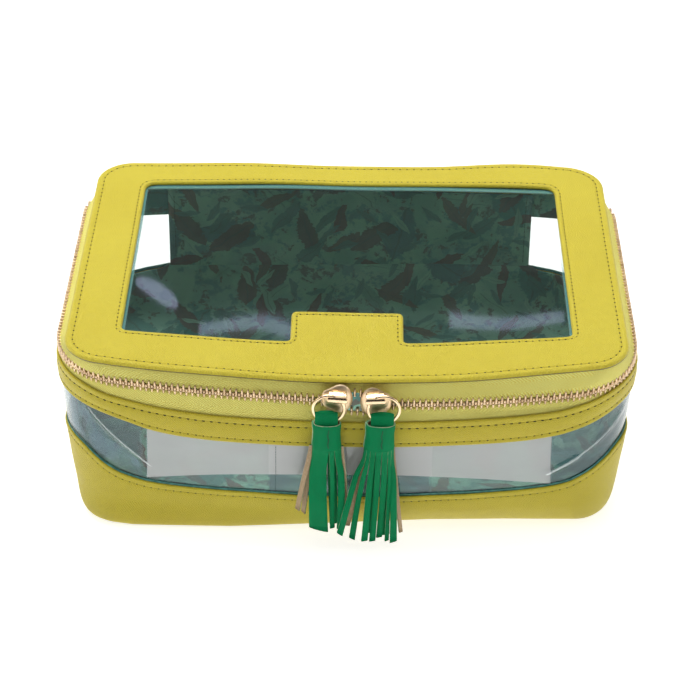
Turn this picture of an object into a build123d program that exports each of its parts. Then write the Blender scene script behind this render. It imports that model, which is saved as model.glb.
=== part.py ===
from build123d import *
import math
import os

os.makedirs("parts", exist_ok=True)

# Zip-round clear game case.  Millimetres.  Origin: middle of the footprint, on the
# surface it stands on.  +X right, -Y front, +Z up.

# ---- driving dimensions -------------------------------------------------
LEATHER = 1.4            # turned faux-leather panel
PVC = 0.6                # clear sheet
LINING = 0.6             # lining cloth
TAPE = 0.8               # zip tape
BOARD = 2.0              # base board
Z_WRAP_FRONT = 26.0      # top edge of the base wrap at the front ...
Z_WRAP_BACK = 37.0       # ... and at the back
Z_BAND_LOW = 60.0        # leather band under the zip
Z_BAND_TOP = 76.0
Z_ZIP = 89.0             # height of the zip line
CHAIN_HALF = 3.6         # half the width of the closed chain
CHAIN_GAP = 0.65         # half the gap that a slider's post runs in
TOOTH_PITCH = 3.15
TOOTH_LEN = 1.75         # along the chain
TOOTH_DEPTH = 3.2        # across the tape
CHAIN_END_Y = 82.0       # where the chain ends, round the back corners
SPINE_HALF = 107.0       # half width of the leather back panel
LID_BOTTOM = 102.2
LID_TOP = 105.4
WIN_HALF_X = 116.0       # lid window opening
WIN_HALF_Y = 77.0
WIN_Y0 = 1.2
TAB_HALF = 29.2          # leather tab at the front edge of the window
TAB_DEEP = 25.0
MEET_X = 5.4             # middle of the gap between the sliders
MOUTH_GAP = 2.4          # half of that gap
RING_MID_R = 7.9
RING_WIRE_R = 0.9
RING_ANG = 65.0          # where the crown holds the ring, from +X
RING_Y = -116.4
RING_Z = 89.0
RING_DX = 13.9           # ring centre from the middle of the gap
LAP_X0 = -41.0            # the clear wall's end, lapped over its start
LAP_X1 = 45.0

# Outer plan of the case body at key heights:
# z, half width, front, back, front corner radius, back corner radius,
# bow radius of the front, of the back, lean of the outward normal (degrees)
KEYS = [
    (0.0, 136.0, 96.0, 92.0, 17.0, 16.0, 2600.0, 3000.0, 78.0),
    (2.5, 140.8, 99.6, 95.6, 21.0, 19.0, 2400.0, 3000.0, 58.0),
    (7.0, 144.2, 102.6, 98.6, 25.0, 22.0, 2000.0, 3000.0, 36.0),
    (14.0, 146.8, 104.8, 100.8, 29.0, 25.0, 1600.0, 3000.0, 16.0),
    (28.0, 148.8, 107.0, 102.8, 34.0, 28.0, 1100.0, 3000.0, 6.0),
    (60.0, 152.0, 110.2, 105.4, 43.0, 33.0, 650.0, 3000.0, 3.0),
    (76.0, 153.0, 110.8, 106.0, 46.0, 35.0, 577.0, 3000.0, 0.0),
    (104.0, 153.0, 110.8, 106.0, 46.0, 35.0, 577.0, 3000.0, 0.0),
]
# outer plan of the lid panel
LID = (145.0, 109.3, 105.0, 21.0, 21.0, 740.0, 3000.0)


def bend(a, y, r, bow):
    """Corner of a bowed rounded rectangle, outward positive: arc centre height,
    point where the corner meets the bow."""
    c0 = y - bow
    xc = a - r
    yc = c0 + math.sqrt((bow - r) ** 2 - xc ** 2)
    k = bow / (bow - r)
    return xc, yc, xc * k, c0 + (yc - c0) * k


def plan_wire(p, z, d=0.0):
    a, yf, yb, rf, rb, bf, bb = [v - d for v in p]
    xf, cf, txf, tyf = bend(a, yf, rf, bf)
    xb, cb, txb, tyb = bend(a, yb, rb, bb)

    def mid(cx, cy, r, p0, p1, sx, sy):
        a0 = math.atan2(p0[1] - cy, p0[0] - cx)
        a1 = math.atan2(p1[1] - cy, p1[0] - cx)
        am = (a0 + a1) / 2
        return (sx * (cx + r * math.cos(am)), sy * (cy + r * math.sin(am)), z)

    mf = mid(xf, cf, rf, (a, cf), (txf, tyf), 1, -1)
    mb = mid(xb, cb, rb, (a, cb), (txb, tyb), 1, 1)
    e = [
        ThreePointArc((-txf, -tyf, z), (0, -yf, z), (txf, -tyf, z)),
        ThreePointArc((txf, -tyf, z), mf, (a, -cf, z)),
        Line((a, -cf, z), (a, cb, z)),
        ThreePointArc((a, cb, z), mb, (txb, tyb, z)),
        ThreePointArc((txb, tyb, z), (0, yb, z), (-txb, tyb, z)),
        ThreePointArc((-txb, tyb, z), (-mb[0], mb[1], z), (-a, cb, z)),
        Line((-a, cb, z), (-a, -cf, z)),
        ThreePointArc((-a, -cf, z), (-mf[0], mf[1], z), (-txf, -tyf, z)),
    ]
    return Wire(e)


def levels(depth):
    """Key sections of the surface that lies `depth` inside the outer one."""
    out = []
    for z, *p, lean in KEYS:
        s, c = math.sin(math.radians(lean)), math.cos(math.radians(lean))
        out.append((z + depth * s, [v - depth * c for v in p]))
    return out


def body_at(z, depth):
    lv = levels(depth)
    if z <= lv[0][0]:
        return lv[0][1]
    for (z0, p0), (z1, p1) in zip(lv, lv[1:]):
        if z <= z1:
            t = (z - z0) / (z1 - z0)
            return [u + (v - u) * t for u, v in zip(p0, p1)]
    return lv[-1][1]


skins = {}


def skin(depth):
    """Solid bounded by the surface that lies `depth` inside the outer one."""
    if depth not in skins:
        skins[depth] = Solid.make_loft([plan_wire(p, z) for z, p in levels(depth)], ruled=True)
    return skins[depth]


def slab(z0, z1):
    return box(-200, 200, -200, 200, z0, z1)


def wall(z0, z1, d0, d1):
    """Upright skin of the case between two depths."""
    return (skin(d0) - skin(d1)) & slab(z0, z1)


def box(x0, x1, y0, y1, z0, z1):
    return Pos((x0 + x1) / 2, (y0 + y1) / 2, (z0 + z1) / 2) * Box(x1 - x0, y1 - y0, z1 - z0)


def prism(p, z0, z1, d=0.0):
    return Solid.make_loft([plan_wire(p, z0, d), plan_wire(p, z1, d)], ruled=True)


def slope(y):
    return Z_WRAP_FRONT + (y + 110.0) * (Z_WRAP_BACK - Z_WRAP_FRONT) / 216.0


def below_wrap_line(shift=0.0):
    """Everything under the sloping top edge of the base wrap."""
    f = make_face(Polyline((0, -130, -5), (0, 130, -5), (0, 130, slope(130) + shift),
                           (0, -130, slope(-130) + shift), close=True))
    return Pos(-170, 0, 0) * extrude(f, 340, dir=(1, 0, 0))


written = []


def save(name, shape, label=None):
    sols = shape.solids() if hasattr(shape, "solids") else [shape]
    sols = [s for s in sols if s.volume > 0.005]
    obj = sols[0] if len(sols) == 1 else Compound(children=list(sols))
    export_step(obj, f"parts/{name}.step")
    written.append(name)
    print(f"{name}: {len(sols)} solid(s), {sum(s.volume for s in sols):.0f} mm3")


# ---- base ---------------------------------------------------------------
shell = (skin(0.0) - skin(LEATHER)) & slab(-1, 44)
foot = prism((127.0, 87.0, 83.5, 14.0, 14.0, 2600.0, 2600.0), -0.5, 1.6)
foot_gap = prism((127.1, 87.1, 83.6, 14.1, 14.1, 2600.0, 2600.0), -0.5, 1.6)
save("bottom_panel", shell & foot)
save("base_wrap", (shell - foot_gap) & below_wrap_line())

board = prism((133.5, 93.0, 89.0, 15.0, 15.0, 2600.0, 2600.0), 1.45, 1.45 + BOARD)
save("base_board", board)

z_l = 1.45 + BOARD + 0.05
lining = ((skin(2.3) & slab(z_l, 41)) - (skin(2.3 + LINING) & slab(z_l + LINING, 42)))
save("base_lining", lining & below_wrap_line(-2.0))

# ---- clear wall, band, back panel ---------------------------------------
back_cut = box(-SPINE_HALF, SPINE_HALF, 40, 130, -10, 130)
back_under = box(-SPINE_HALF + 8, SPINE_HALF - 8, 40, 130, -10, 130)
save("clear_wall", wall(15.0, 65.9, 1.5, 1.5 + PVC) - back_under)
save("wall_lap", wall(26.0, 60.2, 2.2, 2.2 + PVC) & box(LAP_X0, LAP_X1, -130, 0, -10, 130))
save("upper_band", wall(Z_BAND_LOW, Z_BAND_TOP, 0.0, LEATHER) - back_cut)
save("band_lining", wall(Z_BAND_LOW + 0.5, Z_BAND_TOP - 0.5, 2.4, 2.4 + LINING)
     - box(-SPINE_HALF - 0.2, SPINE_HALF + 0.2, 40, 130, -10, 130))

spine_box = box(-SPINE_HALF + 0.1, SPINE_HALF - 0.1, 40, 130, -10, 130)
save("rear_spine", (wall(20.0, Z_ZIP - 0.5, 0.0, LEATHER) & spine_box) - below_wrap_line(0.1))
save("spine_board", (wall(40.0, Z_ZIP - 3, 1.5, 2.1)
                     & box(-SPINE_HALF + 9, SPINE_HALF - 9, 40, 130, -10, 130)))
save("spine_lining", (wall(26.0, Z_ZIP - 1, 2.4, 2.4 + LINING)
                      & box(-SPINE_HALF, SPINE_HALF, 40, 130, -10, 130)) - below_wrap_line(-1.8))

# ---- zip: tapes, chain, stops -------------------------------------------
tape_cut = box(-SPINE_HALF + 8, SPINE_HALF - 8, 40, 130, -10, 130)
save("zip_tape_lower", wall(66.1, Z_ZIP - CHAIN_HALF, 1.5, 1.5 + TAPE) - tape_cut)

zt = Z_ZIP + CHAIN_HALF
rim = body_at(zt, 0.0)
tape_up = (Solid.make_loft([plan_wire(rim, zt, 1.5), plan_wire(LID, LID_BOTTOM, 1.0)], ruled=True)
           - Solid.make_loft([plan_wire(rim, zt, 1.5 + TAPE), plan_wire(LID, LID_BOTTOM, 1.0 + TAPE)], ruled=True))
save("zip_tape_upper", tape_up - box(-SPINE_HALF - 0.1, SPINE_HALF + 0.1, 40, 130, -10, 130))


def chain_track():
    """Middle line of the chain from the left back corner round the front to the
    right back corner: a function of arc length giving x, y and heading."""
    a, yf, yb, rf, rb, bow, bb = [v - 1.5 - TAPE / 2 for v in rim]
    xf, cf, txf, tyf = bend(a, yf, rf, bow)
    xb, cb, _, _ = bend(a, yb, rb, bb)
    ang_end = math.asin((CHAIN_END_Y - cb) / rb)
    ang_c = math.atan2(tyf - cf, txf - xf)          # corner arc, from the side round
    half_bow = math.asin(txf / bow)
    legs = [rb * ang_end, cb + cf, rf * ang_c, 2 * bow * half_bow, rf * ang_c, cb + cf, rb * ang_end]

    def at(s):
        if s <= legs[0]:
            t = ang_end - s / rb
            return -xb - rb * math.cos(t), cb + rb * math.sin(t), math.degrees(t) - 90
        s -= legs[0]
        if s <= legs[1]:
            return -a, cb - s, -90.0
        s -= legs[1]
        if s <= legs[2]:
            t = s / rf
            return -xf - rf * math.cos(t), -cf - rf * math.sin(t), math.degrees(t) - 90
        s -= legs[2]
        if s <= legs[3]:
            t = -half_bow + s / bow
            return bow * math.sin(t), (bow - yf) - bow * math.cos(t), math.degrees(t)
        s -= legs[3]
        if s <= legs[4]:
            t = ang_c - s / rf
            return xf + rf * math.cos(t), -cf - rf * math.sin(t), 90 - math.degrees(t)
        s -= legs[4]
        if s <= legs[5]:
            return a, -cf + s, 90.0
        s -= legs[5]
        t = s / rb
        return xb + rb * math.cos(t), cb + rb * math.sin(t), 90 + math.degrees(t)

    return at, sum(legs)


at, total = chain_track()
count = int(total / TOOTH_PITCH) - 2
start = (total - count * TOOTH_PITCH) / 2
low, high = [], []
tooth = Box(TOOTH_LEN, TOOTH_DEPTH, CHAIN_HALF - CHAIN_GAP)
for i in range(count + 1):
    x, y, h = at(start + i * TOOTH_PITCH)
    low.append(Pos(x, y, Z_ZIP - (CHAIN_HALF + CHAIN_GAP) / 2) * Rot(0, 0, h) * tooth)
    if i < count:
        x, y, h = at(start + (i + 0.5) * TOOTH_PITCH)
        high.append(Pos(x, y, Z_ZIP + (CHAIN_HALF + CHAIN_GAP) / 2) * Rot(0, 0, h) * tooth)
save("zip_teeth_lower", Compound(children=[s for t in low for s in t.solids()]))
save("zip_teeth_upper", Compound(children=[s for t in high for s in t.solids()]))
stop = Box(3.0, 3.4, CHAIN_HALF - CHAIN_GAP)
for nm, sg in (("zip_stops_lower", -1), ("zip_stops_upper", 1)):
    ends = []
    for s in (start - 4.2, total - start + 4.2):
        x, y, h = at(s)
        ends.append(Pos(x, y, Z_ZIP + sg * (CHAIN_HALF + CHAIN_GAP) / 2) * Rot(0, 0, h) * stop)
    save(nm, Compound(children=[s for t in ends for s in t.solids()]))

# ---- lid ----------------------------------------------------------------
opening = (box(-WIN_HALF_X, WIN_HALF_X, WIN_Y0 - WIN_HALF_Y, WIN_Y0 + WIN_HALF_Y, 90, 120)
           - box(-TAB_HALF, TAB_HALF, -120, WIN_Y0 - WIN_HALF_Y + TAB_DEEP, 90, 120))
frame_top = prism(LID, LID_BOTTOM, LID_TOP) - prism(LID, LID_BOTTOM - 1, LID_BOTTOM + 1.2, 2.4)
save("lid_frame", frame_top - opening)
sheet = box(-WIN_HALF_X - 8, WIN_HALF_X + 8, WIN_Y0 - WIN_HALF_Y - 8, WIN_Y0 + WIN_HALF_Y + 8,
            LID_BOTTOM + 0.55, LID_BOTTOM + 0.55 + PVC)
save("lid_window", sheet)
under = (prism(LID, LID_BOTTOM - 0.1, LID_BOTTOM + 0.5, 3.2)
         - (box(-WIN_HALF_X - 1, WIN_HALF_X + 1, WIN_Y0 - WIN_HALF_Y - 1, WIN_Y0 + WIN_HALF_Y + 1, 90, 120)
            - box(-TAB_HALF + 1, TAB_HALF - 1, -120, WIN_Y0 - WIN_HALF_Y + TAB_DEEP - 1, 90, 120)))
save("lid_lining", under)
flap = (Solid.make_loft([plan_wire(rim, Z_ZIP + 1.0, 0.1), plan_wire(LID, LID_BOTTOM, 0.1)], ruled=True)
        - Solid.make_loft([plan_wire(rim, Z_ZIP + 1.0, LEATHER), plan_wire(LID, LID_BOTTOM, LEATHER - 0.1)],
                          ruled=True))
save("hinge_flap", flap & box(-SPINE_HALF, SPINE_HALF, 40, 130, -10, 130))

# ---- sliders, rings and tassels -----------------------------------------
bow_centre_y = rim[5] - rim[1]                     # common centre of the front bow
chain_y = -(rim[1] - 1.5 - TAPE / 2)               # chain at the middle of the front
half_ch = TOOTH_DEPTH / 2 + 0.3


def left_set():
    """Left-hand slider, crown, ring and tassel; the right-hand set mirrors it
    about x = 0 here, and both are then placed about the gap between them."""
    m = -MOUTH_GAP                                  # mouth end
    t = m - 14.8                                    # tail end
    # plates
    yf0, yf1 = chain_y - half_ch, chain_y - half_ch - 1.4
    yb0, yb1 = chain_y + half_ch, chain_y + half_ch + 1.4
    front_sk = (Pos(m - 6.0, 91.5) * Ellipse(6.0, 8.4)
                + Pos((t + m - 5) / 2, 90.6) * RectangleRounded(m - 5 - t, 9.6, 2.2))
    back_sk = (Pos(m - 6.0, Z_ZIP) * Ellipse(6.0, 6.9)
               + Pos((t + m - 5) / 2, Z_ZIP) * RectangleRounded(m - 5 - t, 9.4, 2.2))
    stand = Plane(origin=(0, 0, 0), x_dir=(1, 0, 0), z_dir=(0, -1, 0))
    front = extrude(stand * front_sk, 1.4)
    front = Pos(0, yf0, 0) * front
    back = Pos(0, yb1, 0) * extrude(stand * back_sk, 1.4)
    post = box(m - 3.2, m - 0.4, yf0 - 0.2, yb0 + 0.2, Z_ZIP - 0.4, Z_ZIP + 0.4)
    zl1 = Z_ZIP - CHAIN_HALF - 0.5
    lips = (box(t + 2, m - 4, yf0 - 0.2, chain_y - TAPE / 2 - 0.5, zl1 - 1.5, zl1)
            + box(t + 2, m - 4, chain_y + TAPE / 2 + 0.5, yb0 + 0.2, zl1 - 1.5, zl1))
    body = front + back + post + lips
    # crown: an arch over the ring's wire
    rx, rz = -RING_DX, RING_Z
    ca, sa = math.cos(math.radians(RING_ANG)), math.sin(math.radians(RING_ANG))
    px, pz = rx + RING_MID_R * ca, rz + RING_MID_R * sa
    loc = Plane(origin=(px, yf1, pz), x_dir=(-sa, 0, ca), z_dir=(0, -1, 0))   # local x along the wire
    hi, lo = 2.0, -2.4
    # local y of that plane
    yd = loc.y_dir
    sgn = 1 if yd.Z > 0 else -1
    a_top, a_bot = sgn * (hi + 1.4), sgn * (lo - 1.4)
    outer = Pos(0, (a_top + a_bot) / 2, 3.75) * Box(4.0, abs(a_top - a_bot), 7.5)
    hole = Pos(0, sgn * (hi + lo) / 2, 3.0) * Box(6.0, hi - lo, 6.2)
    crown = loc * (outer - hole)
    crown = crown & box(-60, 20, -130, yf1, 60, 130)
    # ring
    ring = Pos(rx, RING_Y, rz) * Rot(90, 0, 0) * Torus(RING_MID_R, RING_WIRE_R)
    # strap over the ring
    sx = rx - 0.3
    gap_b, gap_f, th = 2.2, 1.8, 0.9
    z_head = 79.4
    strap = (box(sx - 6, sx + 6, RING_Y - gap_f - th, RING_Y + gap_b + th, z_head, 87.6)
             - box(sx - 7, sx + 7, RING_Y - gap_f, RING_Y + gap_b, z_head - 1, 86.5))
    return body, crown, ring, strap, sx


def fringe(cx0, cx1, w1, z1):
    """Bundle of hanging strips as one tapering solid."""
    top = Plane(origin=(cx0, -117.2, 65.5)) * Ellipse(7.6, 4.8)
    bot = Plane(origin=(cx1, -117.8, z1)) * Ellipse(w1 / 2, 5.0)
    return Solid.make_loft([top.wires()[0], bot.wires()[0]], ruled=True)


def place(shape, side, travel=0.0):
    """Turn a part about the centre of the front bow so that the two sets stand
    either side of the gap, and mirror it for the right-hand side."""
    s = shape if side < 0 else mirror(shape, Plane.YZ)
    ang = math.degrees(MEET_X / rim[5])
    return Pos(0, bow_centre_y, 0) * Rot(0, 0, ang) * Pos(0, -bow_centre_y, 0) * s


body, crown, ring, strap, sx = left_set()
for side, name in ((-1, "left"), (1, "right")):
    save(f"slider_body_{name}", place(body, side))
    save(f"slider_crown_{name}", place(crown, side))
    save(f"ring_{name}", place(ring, side))
    save(f"tassel_loop_{name}", place(strap, side))
    hx = MEET_X + side * (-sx + 0.4)
    head = Plane(origin=(hx, -117.2, 65.6)) * Ellipse(7.8, 4.9)
    save(f"tassel_head_{name}", extrude(head, 79.3 - 65.6))
save("tassel_fringe_left", fringe(MEET_X + sx - 0.4, -12.0, 19.0, 6.0))
save("tassel_fringe_right", fringe(MEET_X - sx - 0.4, 14.2, 28.0, 3.0))

print(len(written), "nodes")
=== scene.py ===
import math
import random

import bpy
import numpy as np
from mathutils import Matrix, Vector, noise
from mathutils.geometry import delaunay_2d_cdt


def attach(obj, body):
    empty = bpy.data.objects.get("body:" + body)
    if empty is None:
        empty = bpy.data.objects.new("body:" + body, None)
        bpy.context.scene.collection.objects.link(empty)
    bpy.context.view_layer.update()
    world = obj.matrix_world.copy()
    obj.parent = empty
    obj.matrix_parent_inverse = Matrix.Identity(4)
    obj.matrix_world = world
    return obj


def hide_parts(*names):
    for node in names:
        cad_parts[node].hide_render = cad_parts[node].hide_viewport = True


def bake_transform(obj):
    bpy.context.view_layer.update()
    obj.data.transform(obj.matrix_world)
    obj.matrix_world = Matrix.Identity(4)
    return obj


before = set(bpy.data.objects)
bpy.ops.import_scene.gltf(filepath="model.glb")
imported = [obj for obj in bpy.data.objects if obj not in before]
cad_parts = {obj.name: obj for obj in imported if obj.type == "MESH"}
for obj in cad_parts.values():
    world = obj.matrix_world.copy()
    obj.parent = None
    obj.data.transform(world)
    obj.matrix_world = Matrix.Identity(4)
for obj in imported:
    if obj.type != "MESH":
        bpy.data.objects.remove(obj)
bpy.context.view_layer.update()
MM = 0.001
scene = bpy.context.scene
random.seed(7)
rng = np.random.default_rng(7)

# ---------------------------------------------------------------- nodes ----


class Mat:
    """A small builder for procedural materials."""

    def __init__(self, name):
        self.m = bpy.data.materials.new(name)
        self.m.use_nodes = True
        self.nt = self.m.node_tree
        self.nt.nodes.clear()
        self.out = self.nt.nodes.new("ShaderNodeOutputMaterial")
        self.p = None

    def node(self, kind, **props):
        n = self.nt.nodes.new(kind)
        for k, v in props.items():
            setattr(n, k, v)
        return n

    def put(self, socket, v):
        if isinstance(v, bpy.types.NodeSocket):
            self.nt.links.new(v, socket)
        elif v is not None:
            if hasattr(socket.default_value, "__len__"):
                v = tuple(v)
                if len(socket.default_value) == 4 and len(v) == 3:
                    v = (*v, 1.0)
            socket.default_value = v

    def math(self, op, a, b=None, c=None, clamp=False):
        n = self.node("ShaderNodeMath", operation=op, use_clamp=clamp)
        self.put(n.inputs[0], a)
        self.put(n.inputs[1], b)
        self.put(n.inputs[2], c)
        return n.outputs[0]

    def step(self, v, a, b, lo=0.0, hi=1.0):
        n = self.node("ShaderNodeMapRange", interpolation_type="SMOOTHSTEP")
        for k, x in enumerate((v, a, b, lo, hi)):
            self.put(n.inputs[k], x)
        return n.outputs[0]

    def mix(self, f, a, b, blend="MIX"):
        n = self.node("ShaderNodeMix", data_type="RGBA", blend_type=blend)
        self.put(n.inputs[0], f)
        self.put(n.inputs[6], a)
        self.put(n.inputs[7], b)
        return n.outputs[2]

    def uv(self):
        return self.node("ShaderNodeUVMap", uv_map="mm").outputs[0]

    def obj(self):
        return self.node("ShaderNodeTexCoord").outputs["Object"]

    def scale(self, v, s, add=(0, 0, 0)):
        n = self.node("ShaderNodeVectorMath", operation="MULTIPLY_ADD")
        self.put(n.inputs[0], v)
        self.put(n.inputs[1], s if hasattr(s, "__len__") else (s, s, s))
        self.put(n.inputs[2], add)
        return n.outputs[0]

    def sep(self, v):
        n = self.node("ShaderNodeSeparateXYZ")
        self.put(n.inputs[0], v)
        return n.outputs

    def noise(self, v, scale, detail=2.0, rough=0.5, dim="3D"):
        n = self.node("ShaderNodeTexNoise", noise_dimensions=dim)
        self.put(n.inputs["Vector"], v)
        n.inputs["Scale"].default_value = scale
        n.inputs["Detail"].default_value = detail
        n.inputs["Roughness"].default_value = rough
        return n.outputs[0]

    def voronoi(self, v, scale, feature="F1", rand=1.0):
        n = self.node("ShaderNodeTexVoronoi", voronoi_dimensions="2D", feature=feature)
        self.put(n.inputs["Vector"], v)
        n.inputs["Scale"].default_value = scale
        n.inputs["Randomness"].default_value = rand
        return n

    def bump(self, h, dist, strength=1.0, normal=None):
        n = self.node("ShaderNodeBump")
        n.inputs["Strength"].default_value = strength
        n.inputs["Distance"].default_value = dist
        self.put(n.inputs["Height"], h)
        if normal is not None:
            self.put(n.inputs["Normal"], normal)
        return n.outputs[0]

    def principled(self, **kw):
        p = self.node("ShaderNodeBsdfPrincipled")
        for k, v in kw.items():
            self.put(p.inputs[k.replace("_", " ")], v)
        self.p = p
        return p.outputs[0]

    def done(self, shader):
        self.nt.links.new(shader, self.out.inputs[0])
        return self.m


def lin(r, g, b):
    """sRGB 0-255 to linear."""
    return tuple(((c / 255) / 12.92 if c <= 10 else (((c / 255) + 0.055) / 1.055) ** 2.4) for c in (r, g, b))


def hatch(m, uv, pitch, wob=0.25):
    """Cross-hatched grain: two sets of slanted ridges that break up."""
    x, y, _ = m.sep(uv)
    nz = m.noise(uv, 0.35, 2.0)
    nz = m.math("MULTIPLY", m.math("SUBTRACT", nz, 0.5), wob * 6)
    a = m.math("ADD", m.math("MULTIPLY", m.math("ADD", x, y), 0.7071 / pitch), nz)
    b = m.math("ADD", m.math("MULTIPLY", m.math("SUBTRACT", x, y), 0.7071 / pitch), nz)
    ra = m.math("POWER", m.math("ABSOLUTE", m.math("SINE", m.math("MULTIPLY", a, math.pi))), 0.8)
    rb = m.math("POWER", m.math("ABSOLUTE", m.math("SINE", m.math("MULTIPLY", b, math.pi))), 0.8)
    sel = m.step(m.noise(uv, 1.1, 1.0), 0.42, 0.58)
    return m.math("ADD", m.math("MULTIPLY", ra, sel), m.math("MULTIPLY", rb, m.math("SUBTRACT", 1.0, sel)))


def leather_mat(name, base, dark, light, pitch=0.95, rough=0.46, bump=0.00030, sheen=0.08, spec=0.38):
    m = Mat(name)
    uv = m.uv()
    h = hatch(m, uv, pitch)
    broad = m.noise(uv, 0.018, 3.0, 0.55)
    mid = m.noise(uv, 0.25, 2.0)
    fine = m.noise(uv, 2.6, 2.0)
    c = m.mix(m.step(broad, 0.3, 0.7), base, light)
    c = m.mix(m.math("MULTIPLY", m.step(h, 0.45, 0.0), 0.4), c, dark)
    c = m.mix(m.math("MULTIPLY", m.step(mid, 0.62, 0.38), 0.05), c, dark)
    c = m.mix(m.math("MULTIPLY", m.step(fine, 0.6, 0.35), 0.12), c, dark)
    hh = m.math("ADD", h, m.math("MULTIPLY", fine, 0.45))
    r = m.math("ADD", m.math("MULTIPLY", m.step(h, 0.1, 0.9), -0.08), rough + 0.06)
    s = m.principled(Base_Color=c, Roughness=r, Specular_IOR_Level=spec, Sheen_Weight=sheen, Sheen_Roughness=0.5,
                     Normal=m.bump(hh, bump))
    return m.done(s)


YELLOW = leather_mat("leather_yellow", lin(216, 198, 50), lin(150, 132, 14), lin(220, 203, 56), sheen=0.1)
EDGE = leather_mat("leather_edge", lin(180, 170, 38), lin(126, 118, 18), lin(190, 180, 46), pitch=1.2)
# darker copy of the yellow leather for the lid's underside and the lower half of its rolled edge: painted shade for the
# dark line under the lid's edge
UNDER_SHADE = leather_mat("leather_underside_shade", lin(116, 104, 12), lin(84, 74, 6), lin(126, 114, 18), pitch=1.2)
GREEN = leather_mat("leather_green", lin(0, 138, 82), lin(0, 92, 52), lin(0, 146, 88), pitch=0.8, rough=0.5, sheen=0.0, spec=0.1)


def tan_mat():
    m = Mat("leather_back")
    uv = m.uv()
    a = m.noise(uv, 1.2, 4.0, 0.7)
    b = m.noise(m.scale(uv, (3.0, 0.4, 1.0)), 1.0, 3.0)
    c = m.mix(m.step(a, 0.3, 0.7), lin(176, 148, 112), lin(206, 182, 148))
    c = m.mix(m.math("MULTIPLY", m.step(b, 0.65, 0.4), 0.3), c, lin(140, 118, 84))
    return m.done(m.principled(Base_Color=c, Roughness=0.82, Specular_IOR_Level=0.25, Sheen_Weight=0.25,
                               Normal=m.bump(a, 0.0002)))


TAN = tan_mat()


def tape_mat():
    m = Mat("zip_tape_cloth")
    uv = m.uv()
    x, y, _ = m.sep(uv)
    w = m.math("MULTIPLY", m.math("SUBTRACT", m.noise(uv, 0.5, 1.0), 0.5), 0.8)
    zig = m.math("PINGPONG", m.math("ADD", y, 400.0), 6.5)
    d = m.math("ADD", m.math("MULTIPLY", m.math("ADD", x, m.math("MULTIPLY", zig, 1.5)), 1 / 1.75), w)
    rib = m.math("ABSOLUTE", m.math("SINE", m.math("MULTIPLY", d, math.pi)))
    yarn = m.math("ABSOLUTE", m.math("SINE", m.math("MULTIPLY", y, math.pi / 0.42)))
    yarn2 = m.math("ABSOLUTE", m.math("SINE", m.math("MULTIPLY", x, math.pi / 0.45)))
    h = m.math("ADD", rib, m.math("MULTIPLY", m.math("MULTIPLY", yarn, yarn2), 0.45))
    broad = m.noise(uv, 0.05, 3.0)
    c = m.mix(m.step(rib, 0.0, 0.8), lin(240, 216, 70), lin(255, 250, 144))
    c = m.mix(m.math("MULTIPLY", m.step(broad, 0.35, 0.7), 0.2), c, lin(240, 222, 96))
    return m.done(m.principled(Base_Color=c, Roughness=0.8, Specular_IOR_Level=0.2, Sheen_Weight=0.08, Sheen_Roughness=0.4,
                               Normal=m.bump(h, 0.00036)))


TAPE = tape_mat()


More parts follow.
